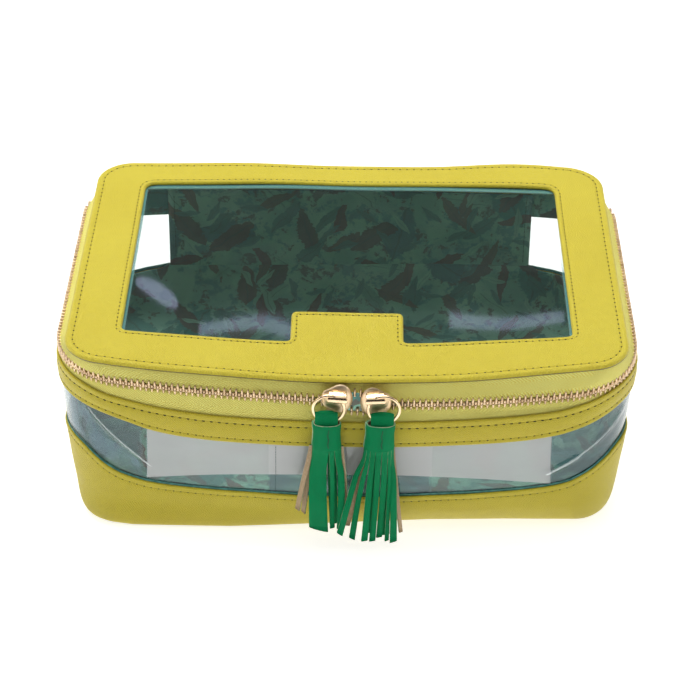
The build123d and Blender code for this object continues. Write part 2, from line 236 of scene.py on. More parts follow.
def lining_mat(name, gain=1.0):
    """Printed lining: loose generic foliage in greens, cut from tiled pointed ellipses."""
    m = Mat(name)
    uv = m.uv()
    warp = m.node("ShaderNodeTexNoise", noise_dimensions="3D")
    m.put(warp.inputs["Vector"], uv)
    warp.inputs["Scale"].default_value = 0.06
    warp.inputs["Detail"].default_value = 2.0
    off = m.scale(warp.outputs["Color"], 9.0, (-4.5, -4.5, 0))
    add = m.node("ShaderNodeVectorMath", operation="ADD")
    m.put(add.inputs[0], uv)
    m.put(add.inputs[1], off)
    wuv = add.outputs[0]

    ragged = m.noise(m.scale(uv, (0.5, 0.9, 1.0)), 0.8, 3.0, 0.7)

    def leaves(cell, length, width, shift, turn=6.283, soft=0.10):
        v = m.scale(wuv, 1 / cell, shift)
        vo = m.voronoi(v, 1.0)
        sub = m.node("ShaderNodeVectorMath", operation="SUBTRACT")
        m.put(sub.inputs[0], v)
        m.put(sub.inputs[1], vo.outputs["Position"])
        rot = m.node("ShaderNodeVectorRotate", rotation_type="Z_AXIS")
        m.put(rot.inputs["Vector"], sub.outputs[0])
        cr = m.sep(vo.outputs["Color"])
        m.put(rot.inputs["Angle"], m.math("MULTIPLY", cr[0], turn))
        lx, ly, _ = m.sep(rot.outputs[0])
        ax = m.math("DIVIDE", m.math("ABSOLUTE", lx), width / cell)
        ay = m.math("DIVIDE", ly, length / cell)
        rim = m.math("SUBTRACT", m.math("SUBTRACT", 1.0, m.math("MULTIPLY", ay, ay)), ax)
        rim = m.math("ADD", rim, m.math("MULTIPLY", m.math("SUBTRACT", ragged, 0.5), 0.9))
        body = m.step(rim, 0.0, soft)
        vein = m.math("MULTIPLY", m.step(ax, 0.10, 0.03), body)
        side = m.math("ABSOLUTE", m.math("SINE", m.math("MULTIPLY", m.math("ADD", ay, m.math("MULTIPLY", ax, -0.6)), 14.0)))
        side = m.math("MULTIPLY", m.step(side, 0.22, 0.05), body)
        return body, vein, side, cr[1]

    g = lambda r, gg, b: tuple(min(1.0, c * gain) for c in lin(r * 0.86 + 17, gg * 0.86 + 13, b * 0.86 + 13))
    ground = m.mix(m.step(m.noise(wuv, 0.035, 2.0), 0.42, 0.56), g(82, 126, 106), g(70, 116, 100))
    wash = m.noise(wuv, 0.09, 5.0, 0.7)
    c = m.mix(m.math("MULTIPLY", m.step(wash, 0.52, 0.6), 0.8), ground, g(36, 88, 84))
    wash2 = m.noise(m.scale(wuv, 1.0, (71.0, 13.0, 0.0)), 0.11, 5.0, 0.7)
    c = m.mix(m.math("MULTIPLY", m.step(wash2, 0.55, 0.62), 0.85), c, g(50, 62, 56))
    for cell, ln, wd, sh, col, col2, f in (
        (46.0, 20.0, 10.0, (3.1, 7.7, 0), (34, 88, 80), (36, 80, 78), 0.9),
        (34.0, 19.0, 6.0, (11.3, 2.9, 0), (60, 60, 50), (50, 56, 48), 0.9),
        (25.0, 14.0, 4.2, (5.9, 13.1, 0), (78, 124, 104), (36, 82, 74), 0.85),
        (29.0, 16.0, 3.2, (17.3, 9.1, 0), (58, 50, 42), (62, 66, 54), 0.9),
        (19.0, 9.0, 2.0, (1.7, 21.9, 0), (86, 130, 110), (44, 88, 80), 0.85),
    ):
        body, vein, side, rnd = leaves(cell, ln, wd, sh)
        keep = m.step(rnd, 0.28, 0.3)
        cc = m.mix(m.step(rnd, 0.5, 0.6), g(*col), g(*col2))
        cc = m.mix(m.math("MULTIPLY", vein, 0.55), cc, g(30, 56, 50))
        cc = m.mix(m.math("MULTIPLY", side, 0.35), cc, g(30, 62, 56))
        c = m.mix(m.math("MULTIPLY", m.math("MULTIPLY", body, keep), f), c, cc)
    weave = m.math("MULTIPLY", m.math("ABSOLUTE", m.math("SINE", m.math("MULTIPLY", m.sep(uv)[0], 7.0))),
                   m.math("ABSOLUTE", m.math("SINE", m.math("MULTIPLY", m.sep(uv)[1], 7.0))))
    return m.done(m.principled(Base_Color=c, Roughness=0.62, Specular_IOR_Level=0.35, Sheen_Weight=0.1,
                               Normal=m.bump(wash, 0.0003, 0.4)))


LINING = lining_mat("lining_print", 2.0)


def metal_mat(name, base, dark, rough, bump=0.00002, scale=900.0):
    m = Mat(name)
    o = m.obj()
    a = m.noise(o, scale, 3.0)
    b = m.noise(o, scale * 0.25, 2.0)
    c = m.mix(m.step(b, 0.35, 0.7), base, dark)
    r = m.math("ADD", m.math("MULTIPLY", a, 0.14), rough - 0.07)
    return m.done(m.principled(Base_Color=c, Metallic=1.0, Roughness=r, Normal=m.bump(a, bump, 0.5)))


GOLD = metal_mat("gold_plate", (0.95, 0.74, 0.48), (0.86, 0.62, 0.38), 0.24)
CHAIN = metal_mat("chain_rose_gold", (0.82, 0.62, 0.40), (0.58, 0.41, 0.25), 0.30)
SATIN = metal_mat("gold_plate_satin", (0.95, 0.74, 0.48), (0.86, 0.62, 0.38), 0.40)


def plain_cloth(name, c0, c1, rough=0.7):
    m = Mat(name)
    o = m.obj()
    a = m.noise(o, 400.0, 3.0)
    c = m.mix(m.step(a, 0.35, 0.65), c0, c1)
    return m.done(m.principled(Base_Color=c, Roughness=rough, Normal=m.bump(a, 0.0001)))


THREAD = plain_cloth("thread_yellow", lin(186, 168, 36), lin(208, 190, 56), 0.65)
# dark needle holes: painted shade for the depth of each hole
HOLE_SHADE = plain_cloth("stitch_hole_shade", lin(26, 20, 2), lin(44, 36, 4), 0.9)
VEDGE = plain_cloth("vinyl_cut_edge", lin(44, 110, 102), lin(74, 142, 132), 0.35)
THREAD_D = plain_cloth("thread_green", lin(30, 60, 54), lin(46, 84, 74), 0.6)
THREAD_T = plain_cloth("thread_tassel", lin(0, 70, 40), lin(0, 100, 58), 0.6)
BOARD = plain_cloth("board_grey", lin(120, 116, 104), lin(150, 146, 132), 0.85)
RAWEDGE = plain_cloth("raw_edge", lin(120, 184, 140), lin(190, 204, 164), 0.8)


def clear_mat(name, kind):
    """Clear vinyl: lets light straight through, mirrors by Fresnel, with a faint milky body, painted highlights along
    the creases and painted reflections on the rounded corners.
    """
    m = Mat(name)
    uv = m.uv()
    x, y, _ = m.sep(uv)
    # uneven milk in the vinyl; on the flat front it also stands in for faint ghost reflections, a painted reflection
    haze_and_ghost_reflection = m.noise(m.scale(uv, (0.4, 1.0, 1.0)), 0.05, 3.0, 0.6)
    if kind == "wall":
        ax = m.math("ABSOLUTE", m.math("SUBTRACT", x, 2.0))
        face = m.math("MULTIPLY", m.step(ax, FACET_S + 1.9, FACET_S + 0.7), m.step(m.math("ADD", y, m.math("MULTIPLY", m.math("MULTIPLY", x, x), 8.5 / FACET_S ** 2)), FACET_Z + 2.1 - 0.35, FACET_Z + 2.1 + 0.35))
        lap = m.math("MULTIPLY", m.step(x, LAP0 - 0.3, LAP0 + 0.3), m.step(x, LAP1 + 0.3, LAP1 - 0.3))
        milk = m.math("ADD", m.math("MULTIPLY", face, m.math("ADD", 0.50, m.math("MULTIPLY", haze_and_ghost_reflection, 0.10))), 0.006)
        milk = m.math("ADD", milk, m.math("MULTIPLY", lap, 0.12))
        # creases that fan out from the flat front to the corners, each with a painted highlight line along it
        crease_highlight = None
        for s0, z0, s1, z1, wdt, amt in CREASES:
            dx, dz = s1 - s0, z1 - z0
            ln = math.hypot(dx, dz)
            t = m.math("DIVIDE", m.math("ADD", m.math("MULTIPLY", m.math("SUBTRACT", x, s0), dx / ln),
                                        m.math("MULTIPLY", m.math("SUBTRACT", y, z0), dz / ln)), ln)
            q = m.math("ABSOLUTE", m.math("ADD", m.math("MULTIPLY", m.math("SUBTRACT", x, s0), -dz / ln),
                                          m.math("MULTIPLY", m.math("SUBTRACT", y, z0), dx / ln)))
            line = m.math("MULTIPLY", m.step(q, wdt, wdt * 0.3), m.math("MULTIPLY", m.step(t, -0.01, 0.05), m.step(t, 1.02, 0.9)))
            milk = m.math("ADD", milk, m.math("MULTIPLY", line, amt))
            crease_highlight = line if crease_highlight is None else m.math("MAXIMUM", crease_highlight, line)
        # painted reflection on the rounded corners: a pale bluish bloom below the creases, and painted dark reflection
        # around them
        painted_dark_reflection = None
        for sg, (s0, z0, s1, z1) in ((-1, CREASES[0][:4]), (1, CREASES[2][:4])):
            below = m.math("SUBTRACT", m.math("ADD", z0, m.math("MULTIPLY", m.math("SUBTRACT", x, s0), (z1 - z0) / (s1 - s0))), y)
            outw = m.math("MULTIPLY", m.step(m.math("MULTIPLY", x, sg), 105.0, 109.0), m.step(m.math("MULTIPLY", x, sg), 196.0, 176.0))
            painted_reflection = m.math("MULTIPLY", m.math("MULTIPLY", m.step(below, 1.4, 4.5), outw), m.step(m.noise(m.scale(uv, (1.0, 1.0, 1.0), (0, 0, 40.0 * sg)), 0.07, 2.0), 0.3, 0.62))
            rise = m.math("SUBTRACT", y, m.math("ADD", 31.4, m.math("MULTIPLY", m.math("SUBTRACT", m.math("MINIMUM", m.math("MULTIPLY", x, sg), 146.0), 111.0), 0.43)))
            painted_reflection = m.math("MULTIPLY", painted_reflection, m.step(rise, 2.0, 4.2))
            milk = m.math("ADD", milk, m.math("MULTIPLY", painted_reflection, 0.42 if sg < 0 else 0.16))
            # mottled painted dark reflection: the corners are darkened as if mirroring darker surroundings
            dark_reflection_mottle = m.step(m.noise(m.scale(uv, (0.5, 1.3, 1.0), (0, 0, 9.0 * sg)), 0.09, 3.0, 0.6), 0.35, 0.65)
            dark_reflection_mottle = m.math("ADD", 0.65, m.math("MULTIPLY", dark_reflection_mottle, 0.5))
            shade = m.math("MULTIPLY", m.math("MULTIPLY", m.step(below, 0.6, -1.6), outw), m.math("MULTIPLY", dark_reflection_mottle, 0.54 if sg < 0 else 0.30))
            if sg > 0:
                shade = m.math("MAXIMUM", shade, m.math("MULTIPLY", m.math("MULTIPLY", m.step(below, 0.5, 2.5), outw), m.math("MULTIPLY", dark_reflection_mottle, 0.5)))
            painted_dark_reflection = shade if painted_dark_reflection is None else m.math("MAXIMUM", painted_dark_reflection, shade)
        # the strip below the flat front is darkened by the same mottled painted dark reflection
        under = m.math("MULTIPLY", m.step(ax, FACET_S + 1.9, FACET_S + 0.7), m.math("SUBTRACT", 1.0, face))
        patch_ = m.step(m.noise(m.scale(uv, (0.6, 1.6, 1.0)), 0.12, 3.0, 0.6), 0.35, 0.65)
        painted_dark_reflection = m.math("MAXIMUM", painted_dark_reflection, m.math("MULTIPLY", under, m.math("ADD", 0.03, m.math("MULTIPLY", patch_, 0.16))))
        painted_dark_reflection = m.math("MULTIPLY", painted_dark_reflection, m.math("SUBTRACT", 1.0, crease_highlight))
        milk = m.math("ADD", milk, painted_dark_reflection)
        milk = m.math("MINIMUM", milk, 0.86)
        # tint: grey milk on the flat front, dark teal under the painted dark reflection, near white along the painted
        # crease highlights
        tint = m.mix(m.step(m.math("MULTIPLY", face, 1.0), 0.2, 0.8), (0.16, 0.30, 0.37), (0.66, 0.67, 0.67))
        tint = m.mix(m.math("MINIMUM", m.math("MULTIPLY", painted_dark_reflection, 2.2), 0.92), tint, (0.04, 0.095, 0.10))
        tint = m.mix(crease_highlight, tint, (0.80, 0.86, 0.86))
    else:
        # the window's thick bonded rim, with the reflection of the vinyl curving into the frame painted in as a denser
        # teal tint
        back = m.step(m.math("ADD", y, m.math("MULTIPLY", m.math("MULTIPLY", x, x), 3.2 / 116.6 ** 2)), 77.6, 78.4)
        left = m.step(x, -115.0, -115.7)
        right = m.math("MULTIPLY", m.step(x, 115.2, 115.9), m.step(y, 20.0, -30.0))
        front = m.math("MULTIPLY", m.step(y, -73.6, -74.8), m.step(m.math("ABSOLUTE", x), 30.0, 60.0))
        edge = m.math("MAXIMUM", m.math("MAXIMUM", back, left), m.math("MAXIMUM", right, front))
        milk = m.math("ADD", m.math("MULTIPLY", edge, 0.55), m.math("MULTIPLY", haze_and_ghost_reflection, 0.017))
        tint = m.mix(m.step(edge, 0.1, 0.6), (0.62, 0.72, 0.72), (0.13, 0.34, 0.32))
    body = m.principled(Base_Color=tint, Roughness=0.22, Specular_IOR_Level=0.5)
    tr = m.node("ShaderNodeBsdfTransparent")
    tr.inputs[0].default_value = (0.90, 0.925, 0.92, 1.0) if kind == "wall" else (0.97, 0.985, 0.98, 1.0)
    mx = m.node("ShaderNodeMixShader")
    m.put(mx.inputs[0], milk)
    m.nt.links.new(tr.outputs[0], mx.inputs[1])
    m.nt.links.new(body, mx.inputs[2])
    gl = m.node("ShaderNodeBsdfGlossy")
    gl.inputs["Color"].default_value = (1, 1, 1, 1)
    gl.inputs["Roughness"].default_value = 0.03
    fr = m.node("ShaderNodeLayerWeight")
    fr.inputs["Blend"].default_value = 0.5
    f5 = m.math("POWER", fr.outputs["Facing"], 5.0)
    mx2 = m.node("ShaderNodeMixShader")
    m.put(mx2.inputs[0], m.math("ADD", m.math("MULTIPLY", f5, 0.75), 0.03))
    m.nt.links.new(mx.outputs[0], mx2.inputs[1])
    m.nt.links.new(gl.outputs[0], mx2.inputs[2])
    return m.done(mx2.outputs[0])


# ------------------------------------------------------------- geometry ----
KEYS = np.array([
    (0.0, 135.5, 96.0, 92.0, 15.0, 15.0, 2600.0, 3000.0),
    (2.5, 139.6, 99.6, 95.6, 18.0, 18.0, 2400.0, 3000.0),
    (7.0, 142.5, 102.6, 98.6, 22.0, 21.0, 2000.0, 3000.0),
    (14.0, 144.4, 104.8, 100.8, 26.5, 24.0, 1600.0, 3000.0),
    (28.0, 146.8, 107.0, 102.8, 32.0, 28.0, 1100.0, 3000.0),
    (60.0, 152.0, 110.2, 105.4, 43.0, 33.0, 650.0, 3000.0),
    (76.0, 153.0, 110.8, 106.0, 46.0, 35.0, 577.0, 3000.0),
    (104.0, 153.0, 110.8, 106.0, 46.0, 35.0, 577.0, 3000.0),
])
LID = (145.0, 109.3, 105.0, 21.0, 21.0, 740.0, 3000.0)
SPINE = 107.0
Z_ZIP = 89.0
MEET = 5.4


def smooth(t):
    t = np.clip(t, 0, 1)
    return t * t * (3 - 2 * t)


def bend(a, y, r, bow):
    c0 = y - bow
    xc = a - r
    yc = c0 + math.sqrt((bow - r) ** 2 - xc ** 2)
    k = bow / (bow - r)
    return xc, yc, xc * k, c0 + (yc - c0) * k


NB, NC, NS, NF, NSP = 5, 22, 30, 150, 60


def outline(p):
    """Closed plan outline, anticlockwise from the left end of the back panel: the
    long way round the front first, then the back panel from right to left."""
    a, yf, yb, rf, rb, bf, bb = p
    xf, cf, txf, tyf = bend(a, yf, rf, bf)
    xb, cb, txb, tyb = bend(a, yb, rb, bb)
    pts = []

    def bow_back(x):
        return (x, (yb - bb) + math.sqrt(bb * bb - x * x))

    def bow_front(x):
        return (x, -((yf - bf) + math.sqrt(bf * bf - x * x)))

    for t in np.linspace(0, 1, NB, endpoint=False):
        pts.append(bow_back(-(SPINE + (txb - SPINE) * t)))
    a0 = math.atan2(tyb - cb, txb - xb)
    for t in np.linspace(0, 1, NC, endpoint=False):
        g = a0 * (1 - t)
        pts.append((-(xb + rb * math.cos(g)), cb + rb * math.sin(g)))
    for t in np.linspace(0, 1, NS, endpoint=False):
        pts.append((-a, cb + (-cf - cb) * t))
    a1 = math.atan2(tyf - cf, txf - xf)
    for t in np.linspace(0, 1, NC, endpoint=False):
        g = a1 * t
        pts.append((-(xf + rf * math.cos(g)), -(cf + rf * math.sin(g))))
    for t in np.linspace(0, 1, NF, endpoint=False):
        pts.append(bow_front(-txf + 2 * txf * t))
    for t in np.linspace(0, 1, NC, endpoint=False):
        g = a1 * (1 - t)
        pts.append(((xf + rf * math.cos(g)), -(cf + rf * math.sin(g))))
    for t in np.linspace(0, 1, NS, endpoint=False):
        pts.append((a, -cf + (cb + cf) * t))
    for t in np.linspace(0, 1, NC, endpoint=False):
        g = a0 * t
        pts.append((xb + rb * math.cos(g), cb + rb * math.sin(g)))
    for t in np.linspace(0, 1, NB + 1):
        pts.append(bow_back(txb + (SPINE - txb) * t))
    for t in np.linspace(0, 1, NSP + 1)[1:-1]:
        pts.append(bow_back(SPINE - 2 * SPINE * t))
    return np.array(pts)


N_U = 2 * NB + 4 * NC + 2 * NS + NF + 1          # columns of the long way round
N_ALL = N_U + NSP - 1

# monotone cubic through the key sections, on a dense list of heights
ZL = np.array([0, .5, 1.1, 1.8, 2.6, 3.6, 4.8, 6.2, 8, 10, 12.5, 15.5, 19, 23, 28, 33, 38, 44, 50, 56, 60, 66, 71, 76, 84, 92, 104.0])


def pchip(x, y, xi):
    h = np.diff(x)
    d = np.diff(y) / h
    m = np.zeros(len(x))
    for k in range(1, len(x) - 1):
        if d[k - 1] * d[k] > 0:
            w1, w2 = 2 * h[k] + h[k - 1], h[k] + 2 * h[k - 1]
            m[k] = (w1 + w2) / (w1 / d[k - 1] + w2 / d[k])
    m[0], m[-1] = d[0], d[-1]
    k = np.clip(np.searchsorted(x, xi, side="right") - 1, 0, len(x) - 2)
    t = (xi - x[k]) / h[k]
    return ((2 * t ** 3 - 3 * t ** 2 + 1) * y[k] + (t ** 3 - 2 * t ** 2 + t) * h[k] * m[k]
            + (-2 * t ** 3 + 3 * t ** 2) * y[k + 1] + (t ** 3 - t ** 2) * h[k] * m[k + 1])


PAR = np.stack([pchip(KEYS[:, 0], KEYS[:, c], ZL) for c in range(1, 8)], 1)
P3 = np.stack([np.c_[outline(p), np.full(N_ALL, z)] for p, z in zip(PAR, ZL)])
# the soft base sits a little askew: its lower front edge runs forward on the
# left and back on the right
for k, z in enumerate(ZL):
    if z < 16:
        f_ = np.interp(P3[k, :, 0], [-128, -112, -60, -30, 10, 45, 85, 128], [5.5, 7.6, 6.0, 3.0, -1.0, -4.0, -4.4, -3.0])
        P3[k, :, 1] -= f_ * (1 - z / 16) ** 1.25 * smooth((-P3[k, :, 1] - 60) / 30)
du = np.roll(P3, -1, 1) - np.roll(P3, 1, 1)
dv = np.gradient(P3, axis=0)
N3 = np.cross(du, dv)
N3 /= np.linalg.norm(N3, axis=2, keepdims=True)
# arc length along the long way round, from the middle of the front
K60 = int(np.argmin(abs(ZL - 60)))
seg = np.linalg.norm(np.diff(P3[K60, :, :2], axis=0), axis=1)
S = np.r_[0, np.cumsum(seg)]
mid = NB + NC + NS + NC + NF // 2
S = S - S[mid]
ALL = np.arange(N_ALL)
U = np.arange(N_U)
SP = np.r_[np.arange(N_U - 1, N_ALL), 0]


def at(i, z, d):
    """Point on the case's outer surface at column i and height z, moved d inwards."""
    i, z, d = np.broadcast_arrays(np.asarray(i), np.asarray(z, float), np.asarray(d, float))
    zc = np.clip(z, ZL[0], ZL[-1])
    k = np.clip(np.searchsorted(ZL, zc, side="right") - 1, 0, len(ZL) - 2)
    t = ((zc - ZL[k]) / (ZL[k + 1] - ZL[k]))[..., None]
    p = P3[k, i] * (1 - t) + P3[k + 1, i] * t
    n = N3[k, i] * (1 - t) + N3[k + 1, i] * t
    n /= np.linalg.norm(n, axis=-1, keepdims=True)
    p = p - n * d[..., None]
    return p


def nz(x, y=0.0, z=0.0):
    return noise.noise(Vector((x, y, z)))


def add(name, v, f, mat, body=None, uv=None, smooth_=True, slot=None, fmat=None, blend=None, stands=()):
    me = bpy.data.meshes.new(name)
    v = np.asarray(v, float)
    me.from_pydata((v * MM).tolist(), [], f)
    mats = mat if isinstance(mat, (list, tuple)) else [mat]
    for mm in mats:
        me.materials.append(mm)
    if fmat is not None:
        me.polygons.foreach_set("material_index", np.asarray(fmat, np.int32))
    if uv is None:
        uv = v[:, [0, 2]]
    lay = me.uv_layers.new(name="mm")
    idx = np.zeros(len(me.loops), np.int32)
    me.loops.foreach_get("vertex_index", idx)
    lay.data.foreach_set("uv", np.asarray(uv, np.float32)[idx].ravel())
    me.polygons.foreach_set("use_smooth", np.full(len(me.polygons), smooth_))
    me.update()
    ob = bpy.data.objects.new(name, me)
    scene.collection.objects.link(ob)
    if blend:
        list(blend)
        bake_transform(ob)
    elif body:
        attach(ob, body)
    if stands:
        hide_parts(*stands)
    return ob


def ring_profile(z0, z1, d0, d1, rows, extra_top=0, cap=4, fixed=None):
    """Closed cross-section of a sheet with rounded ends: lists of (z, depth)
    as fractions. z0, z1 per column. Returns arrays (rows_total, n)."""
    z0 = np.atleast_1d(np.asarray(z0, float))
    z1 = np.atleast_1d(np.asarray(z1, float))
    z0, z1 = np.broadcast_arrays(z0, z1)
    r = (d1 - d0) / 2
    c = (d0 + d1) / 2
    zz, dd = [], []
    fr = np.linspace(0, 1, rows) if fixed is None else np.asarray(fixed)
    for t in fr:
        zz.append(z0 + r + (z1 - z0 - 2 * r) * t)
        dd.append(np.full(z0.shape, d0))
    for g in np.linspace(0, math.pi, cap + 2)[1:-1]:
        zz.append(z1 - r + r * math.sin(g))
        dd.append(np.full(z0.shape, c - r * math.cos(g)))
    for t in fr[::-1]:
        zz.append(z0 + r + (z1 - z0 - 2 * r) * t)
        dd.append(np.full(z0.shape, d1))
    for g in np.linspace(0, math.pi, cap + 2)[1:-1]:
        zz.append(z0 + r - r * math.sin(g))
        dd.append(np.full(z0.shape, c + r * math.cos(g)))
    return np.array(zz), np.array(dd)


def loop_faces(n, m, closed, caps=True):
    """Quads over n columns of an m-point closed cross-section."""
    f = []
    last = n if closed else n - 1
    for i in range(last):
        a, b = i * m, ((i + 1) % n) * m
        for j in range(m):
            k = (j + 1) % m
            f.append((a + j, b + j, b + k, a + k))
    if not closed and caps:
        f.append(tuple(range(m))[::-1] if False else tuple(range(m)))
        f.append(tuple((n - 1) * m + j for j in range(m))[::-1])
    return f


def sheet_round(name, cols, z0, z1, d0, d1, rows, mat, body, slot, closed=False, push=None, stands=(), fixed=None,
                blend=None, uvx=None, cap=4):
    """A sheet that follows the case between two heights and two depths."""
    zz, dd = ring_profile(z0, z1, d0, d1, rows, fixed=fixed, cap=cap)
    n = len(cols)
    if zz.shape[1] == 1:
        zz = np.repeat(zz, n, 1)
        dd = np.repeat(dd, n, 1)
    m = zz.shape[0]
    ci = np.repeat(np.asarray(cols)[None, :], m, 0)
    if push is not None:
        dd = dd - push(ci, zz)
    pts = at(ci, zz, dd)                       # (m, n, 3)
    v = pts.transpose(1, 0, 2).reshape(-1, 3)
    s = (S[cols] if uvx is None else uvx)
    uv = np.stack([np.repeat(s[None, :], m, 0), zz], -1).transpose(1, 0, 2).reshape(-1, 2)
    return add(name, v, loop_faces(n, m, closed), mat, body, uv, slot=slot, stands=stands, blend=blend)


# arc length for the back panel columns runs on continuously
S_SP = P3[K60, SP, 0] * -1.0

FACET_S = 104.0
FACET_Z = 37.8
LAP0, LAP1 = -39.5, 45.0


def s_near(x, y):
    return float(S[:N_U][np.argmin(np.hypot(P3[K60, :N_U, 0] - x, P3[K60, :N_U, 1] - y))])


sl, sr = s_near(-139, -84), s_near(141, -81)
# creases on the clear wall: from (s, z) to (s, z), width, and strength of the painted highlight line along each; the
# strong ones are also raised in the sheet
CREASES = [
    (-102.0, 40.5, -138.0, 70.5, 0.5, 0.5),
    (-100.5, 39.0, -134.0, 64.0, 0.4, 0.25),
    (106.5, 38.8, 156.0, 66.0, 0.5, 0.55),
    (104.5, 37.2, 124.0, 47.5, 0.8, 0.3),
]
CLEAR_WALL = clear_mat("clear_vinyl_wall", "wall")
CLEAR_TOP = clear_mat("clear_vinyl_window", "top")

# ---- lid height ----------------------------------------------------------


def lid_z(x, y):
    x, y = np.asarray(x, float), np.asarray(y, float)
    nx = np.clip(np.abs(x) / 145.0, 0, 1)
    z = np.full(np.broadcast(x, y).shape, 105.2)
    arch = (1 - nx ** 2)
    z = z - 3.1 * arch * smooth((-y - 20) / 85)
    z = z - 1.7 * arch ** 0.8 * smooth((y - 76) / 26)
    z = z + 2.9 * np.exp(-((x - 92) / 38) ** 2 - ((y - 102) / 26) ** 2)
    z = z + 0.9 * np.exp(-((x + 70) / 60) ** 2 - ((y - 102) / 26) ** 2)
    z = z + 0.35 * np.sin(x / 31.0 + 0.7) * np.cos(y / 37.0) + 0.2 * np.sin(x / 13.0 + y / 17.0)
    return z


# ---- base wrap -----------------------------------------------------------
WS = np.array([-368, -356, -344, -325, -290, -240, -190, -158, -144.5, -136, -128, -120, -109.5, -101.6, -82, -49, 0,
               49, 82, 101, 112.6, 122.8, 131, 141.8, 152.7, 165, 195, 245, 290, 325, 346, 357, 368.0])
WZ = np.array([36.4, 34.0, 32.4, 32.4, 35.4, 40.0, 44.5, 46.6, 45.4, 41.9, 38.0, 34.8, 31.2, 29.3, 27.4, 26, 24.5,
               26, 27.6, 29.3, 31.2, 34.6, 37.6, 42.0, 45.8, 46.8, 44.6, 40.2, 36.4, 34.2, 34.8, 36.4, 38.4])


def wrap_top(s):
    return pchip(WS, WZ, np.clip(np.asarray(s, float), -368, 368))


BS = np.array([-368, -345, -300, -240, -190, -158, -140, -125.5, -112.6, -101.6, -85, -60, 0,
               60, 90, 111, 120, 128, 136, 150, 170, 240, 300, 345, 368.0])
BZ = np.array([70.2, 69.4, 69.2, 69.6, 70.6, 71.2, 70.8, 69.4, 66.4, 63.4, 61.2, 60.2, 60,
               60.2, 60.8, 62.8, 65.0, 66.9, 68.9, 71.0, 71.4, 70.4, 69.8, 71.2, 72.2])
TS = np.array([-368, -300, -190, -158, -142, -134, -125.5, -111, -101.6, -85, -60, 0, 60, 90, 111, 120, 128, 140, 155, 190, 300, 368.0])
TZ = np.array([83.4, 83.2, 83.6, 84.2, 83.9, 83.0, 81.8, 79.6, 78.2, 76.9, 76.1, 76, 76.1, 76.4, 77.5, 79.2, 80.8, 82.8, 84.2, 83.8, 83.2, 84.0])


def band_low(s):
    return pchip(BS, BZ, np.clip(np.asarray(s, float), -368, 368))


def band_high(s):
    return pchip(TS, TZ, np.clip(np.asarray(s, float), -368, 368))


top_u = wrap_top(S[:N_U])
low_u = band_low(S[:N_U])
high_u = band_high(S[:N_U])
top_all = np.r_[top_u, top_u[-1] + (top_u[0] - top_u[-1]) * smooth(np.arange(1, NSP) / NSP)]
is_sp = np.zeros(N_ALL)
is_sp[N_U:] = 1.0
sx_all = P3[K60, :, 0]
sp_w = smooth((SPINE + 6 - np.abs(sx_all)) / 6.0) * (P3[K60, :, 1] > 60)


def soft_wave(i, z):
    """Slight unevenness of soft goods, in mm outwards."""
    p = P3[K60, i]
    out = np.zeros(i.shape)
    flat = i.ravel()
    zz = np.asarray(z, float).ravel()
    pp = p.reshape(-1, 3)
    o = np.array([0.55 * nz(a[0] / 38, a[1] / 38, h / 26) + 0.2 * nz(a[0] / 13, a[1] / 13, h / 11 + 5) for a, h in zip(pp, zz)])
    out = o.reshape(i.shape)
    return out * smooth((np.asarray(z) - 2) / 16)


def wrap_push(i, z):
    w = soft_wave(i, z)
    near = smooth((np.asarray(z) - (top_all[i] - 13)) / 9)
    # a slight dent along the seam and a puff above it
    dz = top_all[i] - np.asarray(z)
    w = w - 0.28 * np.exp(-((dz - 3.4) / 0.55) ** 2) + 0.12 * np.exp(-((dz - 1.5) / 1.0) ** 2)
    return w + 1.3 * sp_w[i] * near


frac = np.r_[0, .012, .03, .055, .085, .12, .16, .21, .27, .34, .42, .50, .58, .66, .74, .80, .84, .87, .895, .92, .94, .96, .98, 1.0]
base_wrap = sheet_round("base_wrap_leather", ALL, 0.0, top_all, 0.0, 1.35, 0, YELLOW, "tray", "leather", closed=True,
                        push=wrap_push, stands=("base_wrap",), fixed=frac,
                        uvx=np.r_[S[:N_U], S[N_U - 1] + np.cumsum(np.linalg.norm(np.diff(P3[K60, N_U - 1:, :2], axis=0), axis=1))])

# bottom panel, a slightly dished plate with a welted rim
cen = np.array([0.0, 1.0])
bp_out = P3[0, :, :2] - N3[4, :, :2] * 4.5
v, f = [], []
prof = [(1.0, 1.35), (1.0, 0.5), (0.996, 0.12), (0.985, 0.0), (0.965, 0.12), (0.95, 0.0), (0.8, 0.0), (0.5, 0.0), (0.2, 0.0), (0.02, 0.0)]
prof_in = [(0.02, 1.35), (0.5, 1.35), (0.98, 1.35)]
for sc, zz in prof + prof_in:
    for q in bp_out:
        w = cen + (q - cen) * sc
        v.append((w[0], w[1], zz))
n = len(bp_out)
rows = len(prof) + len(prof_in)
for r in range(rows):
    for i in range(n):
        a, b = r * n + i, r * n + (i + 1) % n
        c, d = ((r + 1) % rows) * n + (i + 1) % n, ((r + 1) % rows) * n + i
        f.append((a, d, c, b))
v = np.array(v)
add("bottom_panel_leather", v, f, YELLOW, "tray", v[:, :2], slot="leather", stands=("bottom_panel",))

